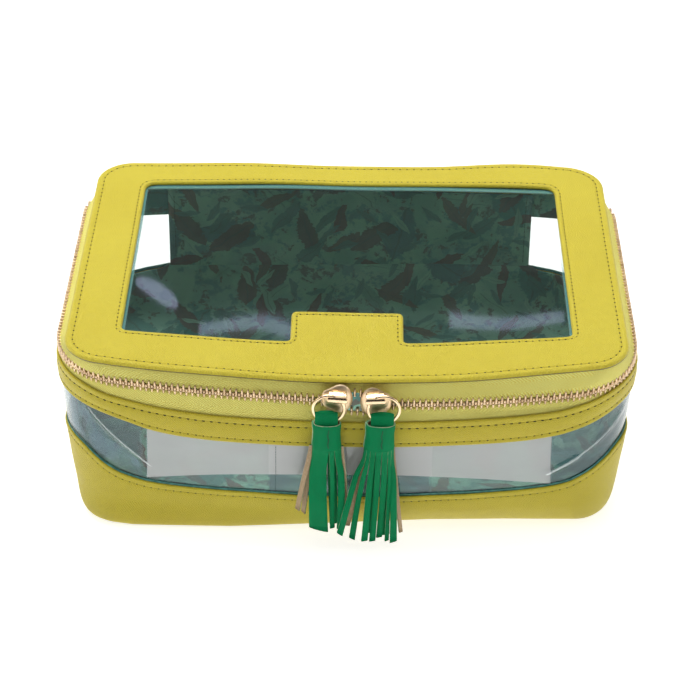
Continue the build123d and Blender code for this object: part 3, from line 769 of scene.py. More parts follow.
# ---- lining of the base: floor and low wall, one moulded sheet -----------
lin_top = top_all + 0.9 - 1.7 * smooth((P3[K60, :, 1] + 40) / 40) + 2.4 * sp_w
zz_rows = [4.1, 4.4, 5.2, 6.5, 8.5, 11, 14, 18, 22]
pts, uvs = [], []
m_rows = 0
colsA = ALL
floor_p = outline((133.0, 93.0, 89.0, 14.0, 14.0, 2600.0, 2600.0))
for sc in (0.02, 0.25, 0.5, 0.75, 0.92):
    q = cen + (floor_p - cen) * sc
    pts.append(np.c_[q, np.full(N_ALL, 4.1)])
for k, zrow in enumerate(zz_rows):
    dd = np.interp(zrow, [4.1, 6.5, 12], [4.3, 2.6, 2.4])
    pts.append(at(colsA, np.full(N_ALL, zrow), np.full(N_ALL, dd)))
for t in (0.35, 0.7, 0.95, 1.0):
    pts.append(at(colsA, 22 + (lin_top - 22) * t, 2.4))
for t, dd in ((1.0, 2.6), (0.98, 2.9), (0.6, 2.9), (0.0, 2.95)):
    pts.append(at(colsA, 22 + (lin_top - 22) * t, dd))
for k, zrow in enumerate((14, 8.5, 6.0, 4.7)):
    pts.append(at(colsA, np.full(N_ALL, zrow), np.full(N_ALL, np.interp(zrow, [4.1, 6.5, 12], [4.9, 3.2, 3.0]))))
inner_start = len(pts)
for sc in (0.985, 0.92, 0.75, 0.5, 0.25, 0.02):
    q = cen + (floor_p - cen) * sc
    pts.append(np.c_[q, np.full(N_ALL, 4.55)])
V = np.array(pts)
# print runs flat over the floor and up the walls
floor_uv = V[:, :, :2].copy()
for r in range(len(V)):
    zr = V[r, :, 2]
    nn = N3[K60, :, :2]
    floor_uv[r] += nn * (zr - 4.1)[:, None]
rows = len(V)
f = []
for r in range(rows - 1):
    for i in range(N_ALL):
        j = (i + 1) % N_ALL
        f.append((r * N_ALL + i, r * N_ALL + j, (r + 1) * N_ALL + j, (r + 1) * N_ALL + i))
f.append(tuple(range(N_ALL))[::-1])
f.append(tuple((rows - 1) * N_ALL + i for i in range(N_ALL)))
add("base_lining_print", V.reshape(-1, 3), f, LINING, "tray", floor_uv.reshape(-1, 2), slot="lining", stands=("base_lining",))

# ---- clear wall ------------------------------------------------------------


def wall_push(i, z):
    z = np.asarray(z, float)
    s = S[np.clip(i, 0, N_U - 1)]
    out = np.zeros(i.shape)
    flat = 0.7 * np.array([nz(a / 34, h / 30, 2.0) for a, h in zip(s.ravel(), z.ravel())]).reshape(i.shape)
    edge = smooth((z - 30) / 8) * smooth((60 - z) / 8)
    out = flat * edge * 0.8
    for s0, z0, s1, z1, wdt, amt in CREASES:
        if amt < 0.3:
            continue
        dx, dz = s1 - s0, z1 - z0
        ln = math.hypot(dx, dz)
        t = ((s - s0) * dx + (z - z0) * dz) / ln / ln
        q = (-(s - s0) * dz + (z - z0) * dx) / ln
        out = out + 0.9 * np.exp(-(q / 1.5) ** 2) * smooth((t + 0.1) / 0.2) * smooth((1.1 - t) / 0.2)
    return out


low_w = np.minimum(top_u - 7.0, 24.0)
sheet_round("clear_wall_vinyl", U, low_w, np.minimum(low_u + 5.6, high_u - 1.0), 1.5, 2.05, 30, CLEAR_WALL, "tray", "clear",
            push=wall_push, stands=("clear_wall",), cap=2)
sheet_round("clear_wall_edge_vinyl", U, top_u - 0.8, top_u + 1.15, 1.05, 1.5, 2, VEDGE, "tray", "clear",
            push=lambda i, z: wrap_push(i, z) * 0.0, cap=2)
lap_cols = U[(S[:N_U] > LAP0) & (S[:N_U] < LAP1)]
sheet_round("wall_lap_vinyl", lap_cols, 20.0, 60.2, 2.25, 2.75, 16, CLEAR_WALL, "tray", "clear",
            push=wall_push, stands=("wall_lap",), cap=2)

# ---- leather band under the zip -------------------------------------------


def band_push(i, z):
    z = np.asarray(z, float)
    w = soft_wave(i, z) * 0.5
    lo = low_u[np.clip(i, 0, N_U - 1)]
    hi = high_u[np.clip(i, 0, N_U - 1)]
    w = w - 0.3 * np.exp(-((z - hi + 3.7) / 0.6) ** 2) - 0.3 * np.exp(-((z - lo - 2.5) / 0.6) ** 2)
    w = w + 0.35 * np.exp(-((z - (lo + hi - 1.2) / 2) / ((hi - lo) * 0.22)) ** 2) + 0.15 * np.exp(-((z - hi + 1.4) / 1.0) ** 2)
    return w


bf = np.r_[0, .03, .07, .11, .15, .19, .25, .35, .45, .55, .65, .72, .76, .80, .84, .88, .93, 1.0]
sheet_round("band_leather", U, low_u, high_u, 0.0, 1.45, 0, YELLOW, "tray", "leather", push=band_push,
            stands=("upper_band",), fixed=bf)
back_end = smooth((P3[K60, U, 1] - 83.0) / 4.0)
sheet_round("band_lining_print", U, low_u + 0.4, high_u - 0.4 + (88.6 - high_u) * back_end, 2.35, 2.95, 8, LINING, "tray", "lining", stands=("band_lining",), cap=2)

# ---- back panel ------------------------------------------------------------
ncs = len(SP)
HINGE_Z = 89.3
AX_Y = 106.6


def lid_back_edge(x):
    """Height of the underside of the lid's back edge."""
    return lid_z(x, np.full(np.shape(x), 104.0)) - 1.4


zz_list = np.r_[31, 33, 35, 37.4, 40, 45, 52, 60, 68, 75, 80, 83.5, 85.5, 87, 88.2, 89.3, 90.4, 91.6, 93, 95, 97.5, 100]
xs = P3[K60, SP, 0]
outer = []
for zrow in zz_list:
    outer.append(at(SP, np.full(ncs, zrow), 0.0))
outer = np.array(outer)
# above the fold the flap leans in to the lid's edge
lid_out = outline(LID)[SP]
topz = lid_z(lid_out[:, 0], lid_out[:, 1]) - 2.2
for k, zrow in enumerate(zz_list):
    if zrow > 91:
        t = (zrow - 91) / (100 - 91)
        outer[k, :, 1] = outer[k, :, 1] * (1 - t) + (lid_out[:, 1] - 0.3) * t
        outer[k, :, 2] = 91 + (topz - 91) * t
        outer[k, :, 0] = outer[k, :, 0] * (1 - t) + (xs * 0.999) * t
# a soft hollow where it folds, and the seam dents
for k, zrow in enumerate(zz_list):
    bulge = 0.35 * np.array([nz(a / 40, zrow / 25, 9.0) for a in xs])
    outer[k, :, 1] += bulge * (30 < zrow < 86) - 0.7 * math.exp(-((zrow - 89.3) / 1.6) ** 2)
inner = outer.copy()
inner[:, :, 1] -= 1.3
stack = np.concatenate([outer, inner[::-1]], 0)
mrow = stack.shape[0]
vv = stack.transpose(1, 0, 2).reshape(-1, 3)
uvv = np.stack([np.repeat(-xs[None, :], mrow, 0), np.r_[zz_list, zz_list[::-1]][:, None].repeat(ncs, 1)], -1).transpose(1, 0, 2).reshape(-1, 2)
add("back_panel_leather", vv, loop_faces(ncs, mrow, False), YELLOW, None, uvv, slot="leather",
    stands=("rear_spine", "hinge_flap"),
    blend=("tray", "lid", (0, 0.1066, 0.0866), (0, 0.1066, 0.0921)))
sheet_round("back_lining_print", SP, 36.0, 87.6, 2.3, 2.9, 18, LINING, "tray", "lining", stands=("spine_lining",),
            uvx=S_SP, cap=2)

# ---- tapes -----------------------------------------------------------------


def chain_dz(x, y):
    """The chain rides a touch higher on the left of the front than on the right."""
    x, y = np.asarray(x, float), np.asarray(y, float)
    return (-0.9 - 2.2 * np.tanh((x - 8) / 35)) * smooth((-y - 35) / 50)


def gap_w(x):
    """1 between the sliders, fading to 0 at their tails."""
    return smooth((14.5 - np.abs(np.asarray(x, float) - MEET)) / 11.5)


tz = np.array([66.2, 70, 74, 76.5, 78.5, 80.5, 82.5, 85.0, 87.6])
tape_lo = low_u + 3.5
front = P3[K60, U, 1] < -60
gx = gap_w(P3[K60, U, 0]) * front
cdz = chain_dz(P3[K60, U, 0], P3[K60, U, 1])
rowsP = []
for zrow in tz:
    drop = 4.6 * gx * smooth((zrow - 76) / 10) - cdz * smooth((zrow - 76) / 9)
    zrow = zrow + 1.35 * back_end * (zrow > 87)
    rowsP.append(at(U, np.maximum(zrow - drop, tape_lo + 0.02 * (zrow - 66)), 1.5) + 0)
rowsI = [p + 0 for p in rowsP[::-1]]
nrm = N3[K60, U]
rowsI = [p - nrm * 0.75 for p in rowsI]
st = np.array(rowsP + rowsI)
m = st.shape[0]
uvt = np.stack([np.repeat(S[:N_U][None, :], m, 0), np.r_[tz, tz[::-1]][:, None].repeat(N_U, 1)], -1)
add("zip_tape_lower_cloth", st.transpose(1, 0, 2).reshape(-1, 3), loop_faces(N_U, m, False), TAPE, "tray",
    uvt.transpose(1, 0, 2).reshape(-1, 2), slot="tape", stands=("zip_tape_lower",))

lidU = outline([v - 1.7 for v in LID])[U]
lid_edge_z = lid_z(lidU[:, 0], lidU[:, 1]) - 2.4
rowsP = []
low_c = at(U, np.full(N_U, 90.3), 1.5)
for t in np.linspace(0, 1, 12):
    p = low_c.copy()
    zb = 90.3 + 4.6 * gx + cdz - 1.25 * back_end
    p[:, 2] = zb + (lid_edge_z - zb) * t
    e = t + 0.10 * math.sin(math.pi * t)
    p[:, :2] = low_c[:, :2] * (1 - e) + lidU * e
    rowsP.append(p)
dirn = np.zeros_like(low_c)
dirn[:, :2] = N3[K60, U, :2]
rowsI = [p - dirn * 0.75 for p in rowsP[::-1]]
st = np.array(rowsP + rowsI)
m = st.shape[0]
lv = np.linspace(0, 14, 12)
uvt = np.stack([np.repeat(S[:N_U][None, :], m, 0), -np.r_[lv, lv[::-1]][:, None].repeat(N_U, 1)], -1)
add("zip_tape_upper_cloth", st.transpose(1, 0, 2).reshape(-1, 3), loop_faces(N_U, m, False), TAPE, "lid",
    uvt.transpose(1, 0, 2).reshape(-1, 2), slot="tape", stands=("zip_tape_upper",))

# ---- chain -----------------------------------------------------------------
track = at(U, np.full(N_U, Z_ZIP), 1.9)
tl = np.r_[0, np.cumsum(np.linalg.norm(np.diff(track[:, :2], axis=0), axis=1))]
back_y = 82.0
first = next(i for i in range(N_U) if track[i, 1] < back_y and i > 2)
lastc = next(i for i in range(N_U - 1, 0, -1) if track[i, 1] < back_y)
s_from, s_to = tl[first], tl[lastc]


def track_at(s):
    x = np.interp(s, tl, track[:, 0])
    y = np.interp(s, tl, track[:, 1])
    x2 = np.interp(s + 0.5, tl, track[:, 0])
    y2 = np.interp(s + 0.5, tl, track[:, 1])
    return x, y, math.atan2(y2 - y, x2 - x)


TOOTH = [(-3.35, .18, .8), (-3.2, .34, 1.1), (-2.8, .44, 1.25), (-1.9, .48, 1.3), (-1.5, .60, 1.45), (-1.1, .72, 1.4),
         (-0.75, .64, 1.15), (-0.4, .50, 1.05), (0.1, .58, 1.2), (0.6, .72, 1.4), (0.86, .66, 1.2), (1.0, .40, 0.9)]


def tooth(s, up, stretch=1.0, wide=1.0):
    x, y, a = track_at(s)
    lift = (4.75 * gap_w(x) if y < -60 else 0.0)
    zc0 = Z_ZIP + float(chain_dz(x, y))
    ca, sa = math.cos(a), math.sin(a)
    vs = []
    for z, hw, hd in TOOTH:
        hw *= wide
        ch = min(hw, hd) * 0.45
        ring = [(hw, hd - ch), (hw - ch, hd), (-hw + ch, hd), (-hw, hd - ch), (-hw, -hd + ch), (-hw + ch, -hd), (hw - ch, -hd), (hw, -hd + ch)]
        for lx, ly in ring:
            zz = z * stretch
            if up:
                zz = zc0 - zz + lift
            else:
                zz = zc0 + zz - lift
            vs.append((x + lx * ca - ly * sa, y + lx * sa + ly * ca, zz))
    n = len(TOOTH)
    fs = []
    for r in range(n - 1):
        for j in range(8):
            k = (j + 1) % 8
            q = (r * 8 + j, r * 8 + k, (r + 1) * 8 + k, (r + 1) * 8 + j)
            fs.append(q if not up else q[::-1])
    capa, capb = tuple(range(8)), tuple((n - 1) * 8 + j for j in range(8))
    fs += [capa[::-1], capb] if not up else [capa, capb[::-1]]
    return vs, fs


def join(parts):
    v, f = [], []
    for vs, fs in parts:
        b = len(v)
        v += list(vs)
        f += [tuple(b + k for k in q) for q in fs]
    return np.array(v), f


PITCH = 3.0
cnt = int((s_to - s_from - 8) / PITCH)
st0 = (s_from + s_to - cnt * PITCH) / 2
v, f = join([tooth(st0 + i * PITCH, False) for i in range(cnt + 1)])
add("zip_teeth_lower_metal", v, f, CHAIN, "tray", v[:, [0, 2]], slot="chain_metal", stands=("zip_teeth_lower",))
v, f = join([tooth(st0 + (i + 0.5) * PITCH, True) for i in range(cnt)])
add("zip_teeth_upper_metal", v, f, CHAIN, "lid", v[:, [0, 2]], slot="chain_metal", stands=("zip_teeth_upper",))
v, f = join([tooth(s, False, 1.0, 1.9) for s in (st0 - 4.0, st0 + cnt * PITCH + 4.0)])
add("zip_stops_lower_metal", v, f, CHAIN, "tray", v[:, [0, 2]], slot="chain_metal", stands=("zip_stops_lower",))
v, f = join([tooth(s, True, 1.0, 1.9) for s in (st0 - 4.0, st0 + cnt * PITCH + 4.0)])
add("zip_stops_upper_metal", v, f, CHAIN, "lid", v[:, [0, 2]], slot="chain_metal", stands=("zip_stops_upper",))

# ---- lid frame: a sheet cut from the plan, with rolled edges ----------------


def fillet(corners):
    """Closed polyline through corners (x, y, r), rounded."""
    out = []
    n = len(corners)
    for i in range(n):
        x, y, r = corners[i]
        x0, y0, _ = corners[i - 1]
        x1, y1, _ = corners[(i + 1) % n]
        a = np.array([x0 - x, y0 - y], float)
        b = np.array([x1 - x, y1 - y], float)
        la, lb = np.linalg.norm(a), np.linalg.norm(b)
        a, b = a / la, b / lb
        r = max(0.05, min(r, la * 0.45, lb * 0.45))
        p0, p1 = np.array([x, y]) + a * r, np.array([x, y]) + b * r
        for t in np.linspace(0, 1, 7):
            out.append((1 - t) ** 2 * p0 + 2 * t * (1 - t) * np.array([x, y]) + t * t * p1)
    return np.array(out)


def dense(poly, step=2.2):
    out = []
    n = len(poly)
    for i in range(n):
        a, b = poly[i], poly[(i + 1) % n]
        k = max(1, int(math.ceil(np.linalg.norm(b - a) / step)))
        for t in range(k):
            out.append(a + (b - a) * t / k)
    return np.array(out)


def opening(d):
    """Window opening grown by d into the leather, with the tab at its front edge."""
    X, YB, YF, T, TY = 116.6 + d, 78.2 + d, -70.2 - d, 29.2 - d, -50.8 - d
    rc, rt, rb = 6.5 + d, max(0.3, 3.4 - d), 3.0 + d
    bowb = 0.0
    return fillet([(-X, YB, rc), (-X, YF, rc * 0.6), (-T, YF, rb), (-T, TY, rt), (T, TY, rt), (T, YF, rb), (X, YF, rc * 0.6), (X, YB, rc)])


def bow_open(q):
    """The window's long edges bow outwards a little, as the sheet was cut."""
    q = q.copy()
    k = 1 - np.clip(np.abs(q[:, 0]) / 116.0, 0, 1) ** 2
    q[:, 1] += np.where(q[:, 1] > 40, 3.2 * k, 0.0)
    q[:, 1] -= np.where(q[:, 1] < -60, 6.4 * k, 0.0)
    return q


def inside(poly, pts):
    x, y = pts[:, 0], pts[:, 1]
    c = np.zeros(len(pts), bool)
    n = len(poly)
    for i in range(n):
        x0, y0 = poly[i]
        x1, y1 = poly[(i + 1) % n]
        hit = ((y0 > y) != (y1 > y)) & (x < (x1 - x0) * (y - y0) / ((y1 - y0) if y1 != y0 else 1e-9) + x0)
        c ^= hit
    return c


def dist_to(poly, pts):
    out = np.full(len(pts), 1e9)
    a = poly
    b = np.roll(poly, -1, 0)
    for i in range(len(a)):
        d = b[i] - a[i]
        L = d @ d
        t = np.clip(((pts - a[i]) @ d) / max(L, 1e-9), 0, 1)
        q = a[i] + t[:, None] * d
        out = np.minimum(out, np.hypot(*(pts - q).T))
    return out


def plate(name, outer_fn, inner_fn, offs, zt, thick, mat, body, slot, stands=(), grid=5.0, rtop=1.3, puff=None, hole_offs=None, under=None):
    """A flat-lying sheet with a hole: zt(x, y) gives its top, edges are rolled."""
    outer = dense(outer_fn(0.0))
    hole = dense(inner_fn(0.0))
    loops = [outer, hole]
    extra = []
    for d in offs:
        q = dense(outer_fn(d), 2.6)
        keep = dist_to(hole, q) > 3.2
        extra.append(q[keep])
    for d in (hole_offs or offs):
        q = dense(inner_fn(d), 2.6)
        keep = inside(outer, q) & (dist_to(outer, q) > offs[-1] + 1.4)
        extra.append(q[keep])
    gx_, gy_ = np.meshgrid(np.arange(-150, 151, grid), np.arange(-115, 116, grid))
    g = np.c_[gx_.ravel(), gy_.ravel()] + rng.uniform(-0.4, 0.4, (gx_.size, 2))
    keep = inside(outer, g) & ~inside(hole, g)
    g = g[keep]
    keep = (dist_to(outer, g) > offs[-1] + 1.6) & (dist_to(hole, g) > (hole_offs or offs)[-1] + 1.6)
    extra.append(g[keep])
    pts = np.vstack([outer, hole] + extra)
    no, nh = len(outer), len(hole)
    edges = [(i, (i + 1) % no) for i in range(no)] + [(no + i, no + (i + 1) % nh) for i in range(nh)]
    res = delaunay_2d_cdt([Vector(p) for p in pts], edges, [], 0, 1e-4)
    vv = np.array([(p[0], p[1]) for p in res[0]])
    tri = [t for t in res[2]]
    cc = np.array([vv[list(t)].mean(0) for t in tri])
    ok = inside(outer, cc) & ~inside(hole, cc)
    tri = [t for t, k in zip(tri, ok) if k]
    # boundary vertices by original index
    orig = res[3]
    do, dh = dist_to(outer, vv), dist_to(hole, vv)
    dmin = np.minimum(do, dh)

    def roll(d, r):
        d = np.minimum(d, r)
        return r - np.sqrt(np.maximum(r * r - (r - d) ** 2, 0))

    ztop = zt(vv[:, 0], vv[:, 1]) - roll(dmin, rtop)
    if puff is not None:
        ztop = ztop + puff(vv, do, dh)
    zbot = zt(vv[:, 0], vv[:, 1]) - thick + roll(dmin, min(rtop, thick * 0.45))
    n = len(vv)
    V = np.vstack([np.c_[vv, ztop], np.c_[vv, zbot]])
    F, M = [], []
    used = {}
    for t in tri:
        a, b, c = t
        ar = (vv[b][0] - vv[a][0]) * (vv[c][1] - vv[a][1]) - (vv[b][1] - vv[a][1]) * (vv[c][0] - vv[a][0])
        if ar < 0:
            a, b, c = a, c, b
        F.append((a, b, c))
        F.append((n + c, n + b, n + a))
        M += [0, 1]
        for e in ((a, b), (b, c), (c, a)):
            used[e] = used.get(e, 0) + 1
    midv = {}
    Vx = list(V)
    for (a, b) in list(used):
        if (b, a) not in used:
            for q in (a, b):
                if q not in midv:
                    midv[q] = len(Vx)
                    Vx.append((vv[q][0], vv[q][1], (V[q][2] + V[n + q][2]) / 2))
            F.append((b, a, midv[a], midv[b]))
            F.append((midv[b], midv[a], n + a, n + b))
            M += [0, 1]
    Vx = np.array(Vx)
    if under is None:
        return add(name, Vx, F, mat, body, Vx[:, :2], slot=slot, stands=stands)
    return add(name, Vx, F, [mat, under], body, Vx[:, :2], slot=slot, stands=stands, fmat=M)


def lid_outer(d):
    return outline([v - d for v in LID])


def hole_fn(d):
    return bow_open(dense(opening(d), 4.0))


def lid_puff(p, do, dh):
    o = 0.28 * np.exp(-((do - 2.1) / 1.1) ** 2) - 0.32 * np.exp(-((do - 4.1) / 0.5) ** 2)
    o += 0.2 * np.exp(-((dh - 1.5) / 0.9) ** 2) - 0.26 * np.exp(-((dh - 2.9) / 0.45) ** 2)
    o += 0.25 * smooth((np.minimum(do - 4, dh - 3)) / 6)
    return o


OFF = (0.18, 0.5, 0.95, 1.5, 2.1, 2.8, 3.4, 3.8, 4.15, 4.5, 5.0, 6.2)
# the underside and the lower half of the rolled edge take the darker leather, painted shade
plate("lid_frame_leather", lid_outer, hole_fn, OFF, lid_z, 2.9, YELLOW, "lid", "leather", stands=("lid_frame",), under=UNDER_SHADE,
      rtop=1.45, puff=lid_puff, hole_offs=(0.15, 0.45, 0.85, 1.3, 1.9, 2.4, 2.7, 3.0, 3.3, 3.9, 5.0))
plate("lid_lining_print", lambda d: lid_outer(d + 3.0), lambda d: hole_fn(d + 0.7), (0.2, 1.5), lambda x, y: lid_z(x, y) - 2.95, 0.5,
      LINING, "lid", "lining", stands=("lid_lining",), rtop=0.15, grid=8.0)

# window sheet
gx_ = np.linspace(-124, 124, 76)
gy_ = np.linspace(-83, 87, 54)


def win_z(x, y):
    x, y = np.asarray(x, float), np.asarray(y, float)
    xe = np.clip(x, -121, 121)
    zb, zf = lid_z(xe, np.full(xe.shape, 74.0)), lid_z(xe, np.full(xe.shape, -74.0))
    t = (74 - y) / 148.0
    z = zb + (zf - zb) * t - 2.1
    kx = np.clip(1 - (x / 116.0) ** 2, 0, 1)
    ky = np.clip(1 - ((y - 1.2) / 78.0) ** 2, 0, 1)
    z = z - 0.5 * kx * ky
    z = z + (0.05 * np.sin(x / 27.0 + y / 60.0) + 0.03 * np.sin(y / 23.0 - x / 55.0 + 1.0)) * kx * ky
    return z


V, F, UVs = [], [], []
ny = len(gy_)
for x in gx_:
    for y in gy_:
        V.append((x, y, float(win_z(x, y))))
nt = len(V)
for (x, y, z) in list(V):
    V.append((x, y, z - 0.55))
for i in range(len(gx_) - 1):
    for j in range(ny - 1):
        a, b, c, d = i * ny + j, (i + 1) * ny + j, (i + 1) * ny + j + 1, i * ny + j + 1
        F.append((a, b, c, d))
        F.append((nt + d, nt + c, nt + b, nt + a))
for i in range(len(gx_) - 1):
    a, b = i * ny, (i + 1) * ny
    F.append((b, a, nt + a, nt + b))
    a, b = i * ny + ny - 1, (i + 1) * ny + ny - 1
    F.append((a, b, nt + b, nt + a))
for j in range(ny - 1):
    a, b = j, j + 1
    F.append((a, b, nt + b, nt + a))
    a, b = (len(gx_) - 1) * ny + j, (len(gx_) - 1) * ny + j + 1
    F.append((b, a, nt + a, nt + b))
V = np.array(V)
add("lid_window_vinyl", V, F, CLEAR_TOP, "lid", V[:, :2], slot="clear", stands=("lid_window",))

# ---- stitches ----------------------------------------------------------------


def capsule(p, t, n, length, r, flat=0.6, arch=0.12):
    """Small rounded thread lying along t on a surface with normal n."""
    t = np.asarray(t, float)
    t = t / np.linalg.norm(t)
    n = np.asarray(n, float)
    n = n / np.linalg.norm(n)
    b = np.cross(n, t)
    vs, fs = [], []
    prof = [(-1.0, 0.25, -0.9), (-0.85, 0.75, -0.35), (-0.45, 1.0, 0.1), (0.0, 1.0, 0.25), (0.45, 1.0, 0.1), (0.85, 0.75, -0.35), (1.0, 0.25, -0.9)]
    k = 6
    for u, w, h in prof:
        c = np.asarray(p) + t * (u * length / 2) + n * (h * arch)
        for j in range(k):
            g = 2 * math.pi * j / k
            vs.append(c + b * (math.cos(g) * r * w) + n * (math.sin(g) * r * w * flat))
    for q in range(len(prof) - 1):
        for j in range(k):
            a = q * k + j
            d = q * k + (j + 1) % k
            fs.append((a, a + k, d + k, d))
    fs.append(tuple(range(k)))
    fs.append(tuple((len(prof) - 1) * k + j for j in range(k))[::-1])
    return vs, fs


def dimple(p, t, n, length, width):
    """Shallow needle hole: a low lens on the surface; its dark colour, where given, is painted shade for the hole's
    depth.
    """
    t = np.asarray(t, float)
    t = t / np.linalg.norm(t)
    n = np.asarray(n, float)
    n = n / np.linalg.norm(n)
    b = np.cross(n, t)
    vs = [np.asarray(p) + n * 0.07]
    k = 8
    for rr, h in ((0.6, 0.06), (1.0, -0.12)):
        for j in range(k):
            g = 2 * math.pi * j / k
            vs.append(np.asarray(p) + t * (math.cos(g) * rr * length / 2) + b * (math.sin(g) * rr * width / 2) + n * h)
    fs = [(0, 1 + j, 1 + (j + 1) % k) for j in range(k)]
    fs += [(1 + j, 1 + k + j, 1 + k + (j + 1) % k, 1 + (j + 1) % k) for j in range(k)]
    return vs, fs


def stitch_line(points, normals, pitch, name, body, thread_len=0.62, hole=(0.9, 0.55), r=0.24, closed=False, jitter=0.12, mats=None, sink=0.0,
                slot="leather"):
    pts = np.asarray(points, float)
    nor = np.asarray(normals, float)
    L = np.r_[0, np.cumsum(np.linalg.norm(np.diff(pts, axis=0), axis=1))]
    total = L[-1]
    n = int(total / pitch)
    pitch = total / max(n, 1)
    th, ho = [], []

    def pos(s):
        return np.array([np.interp(s, L, pts[:, k]) for k in range(3)]), np.array([np.interp(s, L, nor[:, k]) for k in range(3)])

    for i in range(n):
        s = (i + 0.5) * pitch + random.uniform(-jitter, jitter)
        p, nn = pos(s)
        q, _ = pos(min(total, s + 0.3))
        q0, _ = pos(max(0, s - 0.3))
        t = q - q0
        th.append(capsule(p - nn * sink, t, nn, pitch * thread_len, r))
        s2 = i * pitch + random.uniform(-jitter, jitter)
        if closed or i > 0:
            p2, n2 = pos(max(0, s2))
            q2, _ = pos(min(total, max(0, s2) + 0.3))
            q3, _ = pos(max(0, s2 - 0.3))
            ho.append(dimple(p2 - n2 * sink, q2 - q3, n2, *hole))
    mats = mats or (THREAD, HOLE_SHADE)
    v, f = join(th)
    add(name + "_thread", v, f, mats[0], body, v[:, :2], slot=slot)
    v, f = join(ho)
    add(name + "_holes", v, f, mats[1], body, v[:, :2], slot=slot)


def wall_line(cols, z, d, push):
    z = np.broadcast_to(np.asarray(z, float), (len(cols),))
    dd = np.full(len(cols), float(d)) - (push(np.asarray(cols), z) if push else 0)
    p = at(np.asarray(cols), z, dd)
    k = np.clip(np.searchsorted(ZL, z) - 1, 0, len(ZL) - 1)
    return p, N3[k, np.asarray(cols)]


p, n = wall_line(ALL, top_all - 3.4, -0.16, wrap_push)
stitch_line(np.vstack([p, p[:1]]), np.vstack([n, n[:1]]), 3.9, "wrap_stitch", "tray", hole=(1.1, 0.8), thread_len=0.58)
p, n = wall_line(U, high_u - 3.7, -0.16, band_push)
stitch_line(p, n, 4.05, "band_top_stitch", "tray", hole=(1.9, 0.95), thread_len=0.46)
p, n = wall_line(U, low_u + 2.5, -0.16, band_push)
stitch_line(p, n, 4.05, "band_low_stitch", "tray", hole=(1.3, 0.8), thread_len=0.56)


def lid_line(loop, off_name, pitch, do_, dh_, hole, closed=True):
    q = dense(loop, 1.5)
    q = np.vstack([q, q[:1]])
    z = lid_z(q[:, 0], q[:, 1])
    z = z + lid_puff(q, np.full(len(q), do_), np.full(len(q), dh_))
    stitch_line(np.c_[q, z + 0.17], np.tile([0, 0, 1.0], (len(q), 1)), pitch, off_name, "lid", hole=hole, closed=True)


lid_line(lid_outer(4.1), "lid_outer_stitch", 4.1, 4.1, 20.0, (1.4, 1.15))
lid_line(hole_fn(2.9), "lid_inner_stitch", 3.4, 20.0, 2.9, (1.3, 1.1))

# lap seam on the clear front: a short stitched line
lapc = int(np.argmin(abs(S[:N_U] + 35.5)))
zl = np.linspace(27, 59, 30)
pp = at(np.full(30, lapc), zl, 1.42 - wall_push(np.full(30, lapc), zl))
stitch_line(pp, np.tile(N3[K60, lapc], (30, 1)), 3.0, "lap_stitch", "tray", hole=(0.9, 0.5), thread_len=0.5, r=0.16,
            mats=(THREAD_D, THREAD_D), slot="clear")
# edges of the back panel and its lining
for side in (-1, 1):
    x = side * (SPINE - 3.2)
    j = SP[int(np.argmin(abs(P3[K60, SP, 0] - x)))]
    zl = np.linspace(41, 84, 40)
    pp = at(np.full(40, j), zl, -0.12 - 0.35 * np.array([nz(P3[K60, j, 0] / 40, z / 25, 9.0) for z in zl]))
    stitch_line(pp, np.tile([0, 1.0, 0], (40, 1)), 3.9, "back_side_stitch_%s" % ("l" if side < 0 else "r"), "tray")
    pp = at(np.full(40, j), zl, 2.93)
    stitch_line(pp, np.tile([0, -1.0, 0], (40, 1)), 3.2, "back_lining_stitch_%s" % ("l" if side < 0 else "r"), "tray",
                mats=(THREAD_D, THREAD_D), slot="lining", r=0.2)

# ---- sliders -------------------------------------------------------------------
CHY = -108.9


def bowed(x):
    """Chain depth along the front bow."""
    R = 577.0 - 1.9
    return (R + CHY) - math.sqrt(R * R - x * x) if False else CHY + (R - math.sqrt(R * R - x * x))


def dome_plate(outl, cx, cz, y_rim, y_top, back, lip):
    """Rounded shell over a plan outline in x, z; -y is outwards."""
    outl = np.asarray(outl, float)
    rings = [(1.0, back), (1.0, y_rim + lip), (0.995, y_rim + 0.25), (0.965, y_rim - 0.25), (0.90, y_rim - 0.62)]
    for sc in (0.78, 0.62, 0.45, 0.28, 0.12):
        rings.append((sc, y_rim - 0.62 + (y_top - y_rim + 0.62) * (1 - (sc / 0.9) ** 2)))
    v, f = [], []
    n = len(outl)
    for sc, y in rings:
        for q in outl:
            v.append((cx + (q[0] - cx) * sc, y, cz + (q[1] - cz) * sc))
    v.append((cx, y_top, cz))
    for r in range(len(rings) - 1):
        for i in range(n):
            a, b = r * n + i, r * n + (i + 1) % n
            f.append((a, b, b + n, a + n))
    t = len(rings) - 1
    for i in range(n):
        f.append((t * n + i, t * n + (i + 1) % n, len(v) - 1))
    f.append(tuple(range(n))[::-1])
    return v, f


def shield(tail, mouth, zc, up=1.0):
    """Slider plate outline: narrow straight tail, broad rounded mouth."""
    L = mouth - tail
    hx = [(0.0, 2.2), (0.03, 3.9), (0.08, 4.8), (0.18, 5.5), (0.30, 6.5), (0.42, 7.7), (0.52, 8.3), (0.62, 8.5), (0.72, 8.2), (0.81, 7.3), (0.89, 5.8), (0.955, 3.9), (0.99, 2.0), (1.0, 0.7)]
    top = [(tail + t * L, zc + h * up) for t, h in hx]
    bot = [(tail + t * L, zc - h) for t, h in hx[::-1]]
    q = np.array(top + bot)
    # smooth once
    for _ in range(2):
        q = np.stack([0.75 * q + 0.25 * np.roll(q, -1, 0), 0.25 * q + 0.75 * np.roll(q, -1, 0)], 1).reshape(-1, 2)
    return q[::-1]


